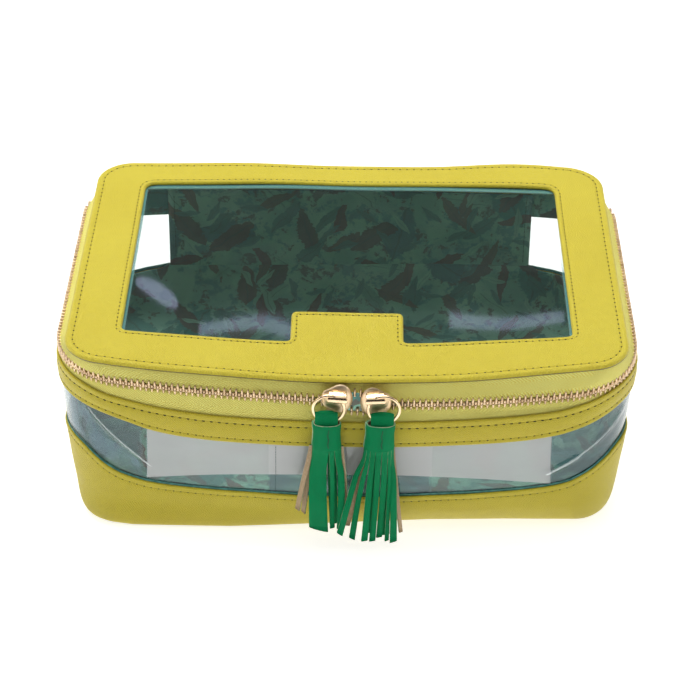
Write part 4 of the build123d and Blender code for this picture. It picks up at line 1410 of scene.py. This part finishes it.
def tube(path, r, k=14, closed=False, rfn=None):
    path = np.asarray(path, float)
    n = len(path)
    v, f = [], []
    prev = None
    for i in range(n):
        t = path[(i + 1) % n] - path[i - 1] if closed or 0 < i < n - 1 else (path[1] - path[0] if i == 0 else path[-1] - path[-2])
        t = t / np.linalg.norm(t)
        ref = np.array([0, 1.0, 0]) if prev is None else prev
        b = np.cross(t, ref)
        if np.linalg.norm(b) < 1e-6:
            b = np.cross(t, [1.0, 0, 0])
        b /= np.linalg.norm(b)
        a = np.cross(b, t)
        prev = a
        rr = rfn(i / (n - 1)) if rfn else r
        for j in range(k):
            g = 2 * math.pi * j / k
            v.append(path[i] + (a * math.cos(g) + b * math.sin(g)) * rr)
    last = n if closed else n - 1
    for i in range(last):
        for j in range(k):
            p, q = i * k + j, i * k + (j + 1) % k
            p2, q2 = ((i + 1) % n) * k + j, ((i + 1) % n) * k + (j + 1) % k
            f.append((p, p2, q2, q))
    if not closed:
        f.append(tuple(range(k)))
        f.append(tuple((n - 1) * k + j for j in range(k))[::-1])
    return v, f


def fix_normals(ob):
    import bmesh
    bm = bmesh.new()
    bm.from_mesh(ob.data)
    bmesh.ops.recalc_face_normals(bm, faces=bm.faces)
    bm.to_mesh(ob.data)
    bm.free()


def bevel_mod(ob, w, seg=2, angle=40):
    md = ob.modifiers.new("bevel", "BEVEL")
    md.width = w * MM
    md.segments = seg
    md.limit_method = "ANGLE"
    md.angle_limit = math.radians(angle)
    md.harden_normals = False
    return md


def box_pts(x0, x1, y0, y1, z0, z1):
    v = [(x0, y0, z0), (x1, y0, z0), (x1, y1, z0), (x0, y1, z0), (x0, y0, z1), (x1, y0, z1), (x1, y1, z1), (x0, y1, z1)]
    f = [(0, 3, 2, 1), (4, 5, 6, 7), (0, 1, 5, 4), (1, 2, 6, 5), (2, 3, 7, 6), (3, 0, 4, 7)]
    return v, f


for side, nm in ((-1, "left"), (1, "right")):
    sgn = -side                              # direction from tail to mouth in x
    mouth = MEET + side * 2.4
    tail = MEET + side * 17.2

    def X(x):                                # left-hand layout, mirrored for the right
        return x if side < 0 else 2 * MEET - x

    tl_, ml_ = MEET - 17.4, MEET - 1.9
    zc = 91.2 if side < 0 else 90.7
    zd = 0.3 if side < 0 else -1.3
    fo = shield(tl_, ml_, zc, 1.0)
    v, f = dome_plate(fo, ml_ - 6.4, zc, CHY - 2.15, CHY - 4.35, CHY - 1.7, 0.35)
    bo = shield(tl_ + 1.2, ml_ - 0.2, Z_ZIP, 1.0)
    bo = np.c_[ml_ - 6.4 + (bo[:, 0] - (ml_ - 6.4)) * 0.92, Z_ZIP + (bo[:, 1] - Z_ZIP) * 0.86]
    v2, f2 = dome_plate(bo, ml_ - 6.4, Z_ZIP, -2.15, -3.3, -1.7, 0.3)
    v2 = [(a, CHY - b, c) for a, b, c in v2]
    f2 = [q[::-1] for q in f2]
    # lips that hug the chain, and the wedge between the two mouths
    parts = [(v, f), (v2, f2)]
    for zs in (Z_ZIP + 4.5, Z_ZIP - 5.4):
        parts.append(box_pts(tl_ + 2.2, ml_ - 5.0, CHY - 2.0, CHY - 1.1, zs, zs + 0.9))
        parts.append(box_pts(tl_ + 2.2, ml_ - 5.0, CHY + 1.1, CHY + 2.0, zs, zs + 0.9))
    parts.append(box_pts(ml_ - 3.4, ml_ - 0.5, CHY - 1.9, CHY + 1.9, Z_ZIP - 1.6, Z_ZIP + 1.6))
    V, F = join(parts)
    V[:, 0] = [X(a) for a in V[:, 0]]
    V[:, 2] += np.where(V[:, 1] > CHY - 2.0, zd, 0.0)
    ob = add("slider_body_%s_metal" % nm, V, F, SATIN, "slider_%s" % nm, V[:, [0, 2]], slot="gold", stands=("slider_body_%s" % nm,))
    fix_normals(ob)
    bevel_mod(ob, 0.18, 2, 50)
    ob.data.polygons.foreach_set("use_smooth", [True] * len(ob.data.polygons))
    # crown: a bridge bar over the ring's wire
    rx, rz = MEET - 13.9, 89.0
    px_, pz_ = rx + 7.9 * math.cos(math.radians(65)), rz + 7.9 * math.sin(math.radians(65))
    tilt = math.radians(-4)
    ca, sa = math.cos(tilt), math.sin(tilt)
    yb = CHY - 3.4
    arch = []
    hh = 2.75
    px_, pz_ = MEET - 9.6, (94.7 if side < 0 else 94.1)
    for t in np.linspace(0, math.pi, 15):
        yy = yb - 5.7 * math.sin(t) ** 0.5
        arch.append((math.cos(t), yy))
    v, f = [], []
    nprof = len(arch)
    half = 5.2
    for c, yy in arch:
        for (du_, th_) in ((-half, 0), (half, 0), (half, 1), (-half, 1)):
            rad = hh * c * (1.0 if th_ == 0 else 0.66)
            y2 = yb + (yy - yb) * (1.0 if th_ == 0 else 0.84)
            narrow = 1.0 - 0.10 * abs(c)
            lx, lz = du_ * narrow, rad
            v.append((px_ + lx * ca - lz * sa, y2, pz_ + 0.1 + lx * sa + lz * ca))
    for i in range(nprof - 1):
        for j in range(4):
            k = (j + 1) % 4
            f.append((i * 4 + j, (i + 1) * 4 + j, (i + 1) * 4 + k, i * 4 + k))
    f.append((0, 1, 2, 3))
    f.append(tuple((nprof - 1) * 4 + j for j in (3, 2, 1, 0)))
    V = np.array(v)
    V[:, 0] = [X(a) for a in V[:, 0]]
    ob = add("slider_crown_%s_metal" % nm, V, f, GOLD, "slider_%s" % nm, V[:, [0, 2]], slot="gold", stands=("slider_crown_%s" % nm,))
    fix_normals(ob)
    bevel_mod(ob, 0.45, 3, 45)
    # ring
    RY = -116.4
    path = [(rx + 7.9 * math.cos(g), RY, rz + 7.9 * math.sin(g)) for g in np.linspace(0, 2 * math.pi, 72, endpoint=False)]
    V, F = tube(path, 0.92, 16, closed=True)
    V = np.array(V)
    V[:, 0] = [X(a) for a in V[:, 0]]
    ob = add("pull_ring_%s_metal" % nm, V, F, GOLD, "pull_ring_%s" % nm, V[:, [0, 2]], slot="gold", stands=("ring_%s" % nm,))
    fix_normals(ob)

# ---- tassels ---------------------------------------------------------------------


def ribbon(path, width, thick, normal, name=None, taper=None, cut=0.0, twist=None, wfn=None, snap=None):
    """Leather strip: path of centre points, flat side facing normal. Returns
    vertices, faces, uv and a material number per face (0 outer, 1 inner)."""
    path = np.asarray(path, float)
    n = len(path)
    V, UV, F, M = [], [], [], []
    L = np.r_[0, np.cumsum(np.linalg.norm(np.diff(path, axis=0), axis=1))]
    xs_ = (-1.0, -0.92, -0.5, 0.0, 0.5, 0.92, 1.0)
    k = len(xs_)
    for i in range(n):
        t = path[min(n - 1, i + 1)] - path[max(0, i - 1)]
        t /= np.linalg.norm(t)
        nn = np.asarray(normal(i / (n - 1)) if callable(normal) else normal, float)
        if twist is not None:
            a = twist(i / (n - 1))
            c, s = math.cos(a), math.sin(a)
            nn = np.array([nn[0] * c - nn[1] * s, nn[0] * s + nn[1] * c, nn[2]])
        nn = nn - t * (nn @ t)
        nn /= np.linalg.norm(nn)
        b = np.cross(t, nn)
        w = width * (wfn(i / (n - 1)) if wfn else 1.0)
        for face in (0, 1):
            for x in xs_:
                curl = 0.10 * w * (x * x) * (1 - 0.4 * i / (n - 1))
                edge = 0.0 if abs(x) < 0.95 else 0.25
                off = (thick / 2 - edge * thick) if face == 0 else (-thick / 2 + edge * thick)
                p = path[i] + b * (x * w / 2) + nn * (off - curl)
                if snap is not None:
                    p = snap(x, face, i / (n - 1), b, p)
                if cut and i == n - 1:
                    p = p + t * (x * cut)
                V.append(p)
                UV.append((x * w / 2 + 7.3 * (name or 0), L[i]))
    m = 2 * k
    for i in range(n - 1):
        for j in range(k - 1):
            a = i * m + j
            F.append((a, a + 1, a + 1 + m, a + m))
            M.append(0)
            a = i * m + k + j
            F.append((a + 1, a, a + m, a + 1 + m))
            M.append(1)
        a, b_ = i * m, i * m + k
        F.append((b_, a, a + m, b_ + m))
        M.append(2)
        a, b_ = i * m + k - 1, i * m + 2 * k - 1
        F.append((a, b_, b_ + m, a + m))
        M.append(2)
    for base in (0, (n - 1) * m):
        for j in range(k - 1):
            q = (base + j, base + j + 1, base + k + j + 1, base + k + j)
            F.append(q if base == 0 else q[::-1])
            M.append(0 if base == 0 else 2)
    return V, F, UV, M


def join4(parts):
    V, F, UV, M = [], [], [], []
    for v, f, u, m in parts:
        b = len(V)
        V += list(v)
        F += [tuple(b + q for q in face) for face in f]
        UV += list(u)
        M += list(m)
    return np.array(V), F, np.array(UV), M


HEADS = {-9.5: (-9.5, 7.0, 0.0), 17.7: (17.7, 7.25, 0.35)}


def head_pt(hx, phi, z):
    """A point of the rolled head's outer face; phi runs from the front, to the right."""
    cx_, ax_, lean_ = HEADS[hx]
    g = 1.5 * math.pi + phi
    r_ = 1.0 + 0.10 * (g - math.pi / 2) / (2 * math.pi * 1.22)
    a_ = ax_ * r_ * (1.0 + 0.03 * float(smooth((70 - z) / 6)))
    b_ = 4.1 * r_
    nx_, ny_ = math.cos(g) / a_, math.sin(g) / b_
    l_ = math.hypot(nx_, ny_)
    return cx_ - lean_ * (80 - z) * 0.12 + a_ * math.cos(g), -117.2 + b_ * math.sin(g), np.array([nx_ / l_, ny_ / l_, 0.0])


def px_x(u, y=-119.0):
    return (u - 346.0) / 2.0


def px_z(v, y):
    return 102.0 - (v - 387.5) * 0.619 - (y + 116) * 0.687


def strip(px_top, px_bot, w_top, w_bot, v_bot, y_top, y_bot, twist=0.0, bow=0.0, cut=0.8, seed=0, z_top=66.2, mid=None, face=-1, hx=None):
    """A hanging strip given by where its ends lie."""
    arc = None
    if isinstance(px_top, tuple):
        arc = [math.radians(q) for q in px_top]
        px_top = 346.0 + 2.0 * head_pt(hx, (arc[0] + arc[1]) / 2, 66.0)[0]
    x0, x1 = px_x(px_top), px_x(px_bot)
    z1 = px_z(v_bot, y_bot)
    pts = []
    n0 = np.array([0.0, float(face), 0.0])
    snap = None
    if arc is not None:
        X_, y_top, n0 = head_pt(hx, (arc[0] + arc[1]) / 2, 66.0)
        n0 = n0 * -face
        y_top += 0.45

        def snap(x, side, t, b, p):
            k = 1 - float(smooth((t - 0.03) / 0.3))
            if k <= 0:
                return p
            phi = (arc[0] + arc[1]) / 2 + x * (1 if b[0] > 0 else -1) * (arc[1] - arc[0]) / 2 * (1.0 - 0.05 * min(1.0, t / 0.05))
            hx_, hy_, hn = head_pt(hx, phi, p[2])
            o = 0.03 if side == 0 else -0.92
            return p * (1 - k) + np.array([hx_ + hn[0] * o, hy_ + hn[1] * o, p[2]]) * k
    for t in np.linspace(0, 1, 16):
        x = x0 + (x1 - x0) * (t ** 1.15) + bow * math.sin(math.pi * t)
        y = y_top + (y_bot - y_top) * smooth(t) + 0.5 * math.sin(2.2 * math.pi * t + seed)
        z = z_top + (z1 - z_top) * t
        pts.append((x, float(y), z))
    w0, w1 = w_top / 2.0, w_bot / 2.0
    tw = twist if callable(twist) else (lambda t: twist * t)
    nf = lambda t: n0 * (1 - smooth(t / 0.5)) + np.array([0.0, float(face), 0.0]) * smooth(t / 0.5)
    return ribbon(pts, 1.0, 0.95, nf, name=seed, cut=cut, twist=tw, wfn=lambda t: w0 + (w1 - w0) * t, snap=snap)


HL, HR = -9.5, 17.7
LEFT = [
    strip(322, 316, 9, 9, 527, -113.6, -114.6, 0.1, 0, -0.6, 31),
    strip(332, 335, 9, 9, 529, -113.4, -114.8, -0.1, 0, 0.6, 32),
    strip(315, 303.5, 5.0, 5.5, 517, -115.2, -116.8, -0.75, -0.8, 0.3, 33, face=1),
    strip(312, 297.5, 5.0, 5.5, 513, -116.6, -119.0, -0.55, -0.5, 0.3, 34, face=1),
    strip(342, 347.5, 4.5, 5, 524, -116.6, -116.8, -0.9, 0.9, 0.4, 35, face=1),
    strip((11, 33), 333.6, 4.6, 5.2, 532, -119.0, -118.2, 0.1, 0.1, 0.3, 36, hx=HL),
    strip((34, 86), 341.8, 7.0, 7.6, 534, -120.2, -119.4, -0.16, 0.9, -0.5, 37, hx=HL),
    strip((-84, 10), 319.4, 17.0, 19.8, 535, -121.4, -121.4, 0.03, -0.15, -1.9, 38, hx=HL),
]
RIGHT = [
    strip(377, 370, 9, 9, 537, -113.6, -114.8, 0.1, 0, -0.6, 41),
    strip(388, 389, 9, 9, 539, -113.4, -114.6, -0.1, 0, 0.6, 42),
    strip(394.5, 405.0, 4, 4.5, 536, -115.6, -116.4, 0.7, 0.0, 0.3, 43, face=1),
    strip(371, 349.0, 5.5, 5.5, 530, -116.2, -117.4, 0.4, -0.5, 0.4, 44, face=1),
    strip((38, 55), 390.6, 3.6, 4.6, 546, -118.6, -118.4, 0.25, 0.2, 0.3, 45, hx=HR),
    strip((13, 37), 382.6, 5.6, 6.4, 542, -119.4, -119.0, 0.12, 0.2, 0.3, 46, hx=HR),
    strip((-53, -34), 354.2, 4.6, 6.6, 543.5, -119.6, -119.6, 0.16, -0.6, -0.8, 47, hx=HR),
    strip((-11, 12), 375.4, 5.6, 6.6, 545, -120.0, -120.4, -0.08, 0.1, 0.5, 48, hx=HR),
    strip((-33, -12), 367.2, 5.4, 6.8, 545, -120.8, -121.6, 0.05, -0.2, 0.4, 49, hx=HR),
    strip((-86, -54), 341.4, 5.0, 7.0, 539.0, -120.8, -122.0, 0.12, -0.9, -1.0, 50, hx=HR),
    strip((56, 86), 397.4, 5.6, 7.6, 547, -121.0, -120.6, -0.16, 0.2, 1.0, 51, hx=HR),
]
for nm, strips, cxh, cxs in (("left", LEFT, -9.5, -9.6), ("right", RIGHT, 17.7, 18.6)):
    V, F, UV, M = join4(strips)
    ob = add("tassel_strips_%s_leather" % nm, V, F, [GREEN, TAN, RAWEDGE], "tassel_%s" % nm, UV, slot="tassel", fmat=M,
             stands=("tassel_fringe_%s" % nm,))
    # head: a strip rolled round on itself, the overlap edge at the back
    cx, cy = cxh, -117.2
    turns = 1.22
    V, F, UV, M = [], [], [], []
    nseg = 64
    zt_, zb_ = 81.0, 65.5
    zrows = [zt_, zt_ - 0.25, zt_ - 0.8, zt_ - 3, zt_ - 6, zt_ - 9, zt_ - 12, zb_ + 0.6, zb_]
    lean = 0.0 if nm == "left" else 0.35
    for i in range(nseg + 1):
        g = math.pi / 2 + 2 * math.pi * turns * i / nseg
        rr = 1.0 + 0.10 * (i / nseg)
        for face, thick_ in ((0, 0.0), (1, -1.0)):
            for z in zrows:
                pinch = 1.0 - 0.05 * math.exp(-((z - 74.5) / 3.2) ** 2)
                flare = 1.0 + 0.03 * smooth((70 - z) / 6)
                ax_, by_ = (7.0 if nm == "left" else 7.25) * rr * pinch * flare + thick_, 4.1 * rr * pinch + thick_
                edge = 0.15 if z in (zt_, zb_) else 0.0
                ax_ -= edge if face == 0 else -edge
                by_ -= edge if face == 0 else -edge
                shear = -lean * (80 - z) * 0.12
                V.append((cx + shear + ax_ * math.cos(g), cy + by_ * math.sin(g), z + 0.15 * math.sin(3 * g)))
                UV.append((g * 6.0, z))
    m = 2 * len(zrows)
    k = len(zrows)
    for i in range(nseg):
        for j in range(k - 1):
            a = i * m + j
            F.append((a, a + m, a + m + 1, a + 1))
            M.append(0)
            a = i * m + k + j
            F.append((a, a + 1, a + m + 1, a + m))
            M.append(1)
        a, b_ = i * m, i * m + k
        F.append((a, b_, b_ + m, a + m))
        M.append(2)
        a, b_ = i * m + k - 1, i * m + 2 * k - 1
        F.append((b_, a, a + m, b_ + m))
        M.append(0)
    for base in (0, nseg * m):
        for j in range(k - 1):
            F.append((base + j, base + j + 1, base + k + j + 1, base + k + j))
            M.append(2)
    V = np.array(V)
    ob = add("tassel_head_%s_leather" % nm, V, F, [GREEN, TAN, RAWEDGE], "tassel_%s" % nm, np.array(UV), slot="tassel", fmat=M,
             stands=("tassel_head_%s" % nm,))
    fix_normals(ob)
    # core that fills the roll
    V, F, UV, M = [], [], [], []
    pth = []
    for i in range(46):
        g = 0.6 + 4.2 * math.pi * i / 45
        r_ = 0.25 + 0.62 * i / 45
        pth.append((cx + 5.6 * r_ * math.cos(g), cy + 2.9 * r_ * math.sin(g)))
    for (x, y) in pth:
        for z in (80.0, 79.7, 74, 67.0):
            V.append((x, y, z))
            UV.append((x * 3, z))
    for i in range(len(pth) - 1):
        for j in range(3):
            a = i * 4 + j
            F.append((a, a + 4, a + 5, a + 1))
            M.append(0)
    V = np.array(V)
    ob = add("tassel_core_%s_leather" % nm, V, F, [TAN], "tassel_%s" % nm, np.array(UV), slot="tassel")
    so = ob.modifiers.new("solid", "SOLIDIFY")
    so.thickness = 0.8 * MM
    so.offset = 0
    # strap over the ring
    sx = cxs
    path = []
    zt2 = 87.3 if nm == "left" else 86.9
    yf_, yb_ = -118.45, -114.9
    for z in np.linspace(75, zt2 - 1.7, 10):
        path.append((sx, yf_ - 1.15 * float(smooth((85.5 - z) / 6)), z))
    for g in np.linspace(0, math.pi, 11)[1:-1]:
        path.append((sx, (yf_ + yb_) / 2 - 1.7 * math.cos(g), zt2 - 1.7 + 1.7 * math.sin(g)))
    for z in np.linspace(zt2 - 1.7, 75, 10):
        path.append((sx, yb_ - 0.5 * smooth((80 - z) / 5), z))
    path = np.array(path)

    def outn(t, path=path):
        i = min(len(path) - 1, max(0, int(round(t * (len(path) - 1)))))
        a = path[max(0, i - 1)]
        b = path[min(len(path) - 1, i + 1)]
        d = b - a
        return np.array([0, -d[2], d[1]])

    V, F, UV, M = ribbon(path, 11.6, 0.95, outn, name=3)
    V = np.array(V)
    ob = add("tassel_strap_%s_leather" % nm, V, F, [GREEN, TAN, RAWEDGE], "tassel_%s" % nm, np.array(UV), slot="tassel", fmat=M,
             stands=("tassel_loop_%s" % nm,))
    fix_normals(ob)
    # seam down the middle of the head
    zz_ = np.linspace(79.5, 67.5, 12)
    cs_x = cx + (0.9 if nm == "left" else 0.8)
    py = [cy - 4.1 * (1.0 - 0.05 * math.exp(-((z - 74.5) / 3.2) ** 2)) * 1.06 - 0.1 for z in zz_]
    pp = np.c_[np.full(12, cs_x), py, zz_]
    pp[:, 0] += 0.25 * np.sin(np.arange(12) * 1.3)
    stitch_line(pp, np.tile([0, -1.0, 0], (12, 1)), 2.6, "tassel_seam_%s" % nm, "tassel_%s" % nm, hole=(0.8, 0.7), thread_len=0.9, r=0.3,
                mats=(THREAD_T, THREAD_T), slot="tassel")

# ---- CAD nodes that stay: their materials ---------------------------------------
for nme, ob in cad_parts.items():
    if ob.hide_render:
        continue
    ob.data.materials.clear()
    ob.data.materials.append(BOARD)

# ---- floor, light, camera ---------------------------------------------------------
fm = Mat("floor_white")
fo = fm.obj()
fc = fm.mix(fm.step(fm.noise(fo, 3.0, 2.0), 0.3, 0.7), (0.60, 0.60, 0.60), (0.63, 0.63, 0.63))
FLOOR = fm.done(fm.principled(Base_Color=fc, Roughness=0.85, Specular_IOR_Level=0.1, Emission_Color=(1, 1, 1), Emission_Strength=0.74))
me = bpy.data.meshes.new("floor")
me.from_pydata([(-6, -6, -0.0004), (6, -6, -0.0004), (6, 6, -0.0004), (-6, 6, -0.0004)], [], [(0, 1, 2, 3)])
me.materials.append(FLOOR)
floor = bpy.data.objects.new("floor", me)
scene.collection.objects.link(floor)

world = bpy.data.worlds.new("studio")
scene.world = world
world.use_nodes = True
wn = world.node_tree
wn.nodes.clear()
wo = wn.nodes.new("ShaderNodeOutputWorld")
bg = wn.nodes.new("ShaderNodeBackground")
tc = wn.nodes.new("ShaderNodeTexCoord")
sx_ = wn.nodes.new("ShaderNodeSeparateXYZ")


def wmath(op, a, b):
    n = wn.nodes.new("ShaderNodeMath")
    n.operation = op
    for k, q in enumerate((a, b)):
        if isinstance(q, bpy.types.NodeSocket):
            wn.links.new(q, n.inputs[k])
        else:
            n.inputs[k].default_value = q
    return n.outputs[0]


def wstep(v, a, b, lo, hi):
    n = wn.nodes.new("ShaderNodeMapRange")
    n.interpolation_type = "SMOOTHSTEP"
    wn.links.new(v, n.inputs[0])
    for k, q in enumerate((a, b, lo, hi)):
        n.inputs[k + 1].default_value = q
    return n.outputs[0]


wn.links.new(tc.outputs["Generated"], sx_.inputs[0])
wz, wy = sx_.outputs[2], sx_.outputs[1]
bright = wstep(wz, 0.62, 0.98, 0.2, 1.1)
dim = wmath("MULTIPLY", wstep(wy, 0.45, 0.7, 0.0, 1.0), wstep(wz, 0.64, 0.74, 1.0, 0.0))
front_ = wmath("MULTIPLY", wstep(wy, -0.4, -0.8, 0.0, 1.0), 0.9)
wn.links.new(wmath("MULTIPLY", wmath("MULTIPLY", bright, wmath("SUBTRACT", 1.0, wmath("MULTIPLY", dim, 0.6))), wmath("SUBTRACT", 1.0, front_)),
             bg.inputs["Strength"])
bg.inputs["Color"].default_value = (1, 1, 1, 1)
wn.links.new(bg.outputs[0], wo.inputs[0])


def area(name, loc, target, size, radiance, color=(1, 1, 1), spread=180):
    ld = bpy.data.lights.new(name, "AREA")
    ld.shape = "RECTANGLE"
    ld.size, ld.size_y = size
    ld.energy = radiance * math.pi * size[0] * size[1]
    ld.color = color
    ld.spread = math.radians(spread)
    ob = bpy.data.objects.new(name, ld)
    scene.collection.objects.link(ob)
    ob.location = loc
    d = Vector(target) - Vector(loc)
    ob.rotation_euler = d.to_track_quat("-Z", "Y").to_euler()
    return ob


area("key_top", (-0.25, 0.7, 1.6), (0, 0.05, 0.05), (1.5, 1.1), 5.6)
area("key_left", (-1.7, -0.4, 0.9), (0, 0, 0.05), (0.7, 0.9), 2.3)
area("fill_right", (1.8, -0.25, 0.8), (0, 0, 0.05), (0.7, 0.9), 2.5)

back = Vector((math.sin(math.radians(0.2)) * math.cos(math.radians(34.48)), -math.cos(math.radians(0.2)) * math.cos(math.radians(34.48)),
               math.sin(math.radians(34.48))))
right = (-back).cross(Vector((0, 0, 1))).normalized()
upv = right.cross(-back).normalized()
rr = math.radians(0.74)
r2 = right * math.cos(rr) + upv * math.sin(rr)
u2 = -right * math.sin(rr) + upv * math.cos(rr)
look = Vector((1.42, 0, 45.14)) * MM
loc = look + back * 1.218
# strip light whose mirror image lies across the front of the window
cd = bpy.data.cameras.new("camera")
cd.lens = 112.26
cd.sensor_width = 36
cd.clip_start, cd.clip_end = 0.05, 30
cam = bpy.data.objects.new("camera", cd)
scene.collection.objects.link(cam)
cam.matrix_world = Matrix(((r2.x, u2.x, back.x, loc.x), (r2.y, u2.y, back.y, loc.y), (r2.z, u2.z, back.z, loc.z), (0, 0, 0, 1)))
scene.camera = cam


def ray(u, v):
    d = r2 * ((u - 350) / 2182.85) + u2 * ((350 - v) / 2182.85) - back
    return d.normalized()




def mirror_light(name, u, v, w_px, h_px, radiance, color, dist=1.3, spin=0.0, shape="RECTANGLE"):
    """A soft light placed where the window's sheet mirrors it into the view."""
    d = ray(u, v)
    hit = loc + d * ((0.1025 - loc.z) / d.z)
    for _ in range(3):
        hz = float(win_z(hit.x / MM, hit.y / MM)) * MM
        hit = loc + d * ((hz - loc.z) / d.z)
    hx, hy = hit.x / MM, hit.y / MM
    gxn = float(win_z(hx + 1, hy) - win_z(hx - 1, hy)) / 2
    gyn = float(win_z(hx, hy + 1) - win_z(hx, hy - 1)) / 2
    nn_ = Vector((-gxn, -gyn, 1.0)).normalized()
    refl = d - nn_ * 2 * d.dot(nn_)
    k = ((hit - loc).length + dist) / 2182.85
    ob = area(name, hit + refl * dist, hit, (w_px * k, h_px * k), radiance, color)
    ob.data.shape = shape
    if spin:
        ob.rotation_euler.rotate_axis("Z", math.radians(spin))
    return ob


mirror_light("strip_left", 246, 322.5, 82, 9, 2.2, (0.62, 0.70, 1.0))
mirror_light("strip_right", 500, 323.5, 126, 11, 2.2, (0.62, 0.70, 1.0))
mirror_light("spot_left", 159, 292, 56, 17, 2.2, (0.62, 0.68, 1.0), spin=-24, shape="ELLIPSE")

scene.view_settings.view_transform = "Standard"
scene.view_settings.look = "None"
scene.view_settings.exposure = 0.0

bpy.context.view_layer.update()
# ---- cloth: every piece is bonded or sewn flat to what it lines; here only the length of the long way round is computed, in metres ---
strip = float(abs(S[N_U - 1] - S[0])) * MM
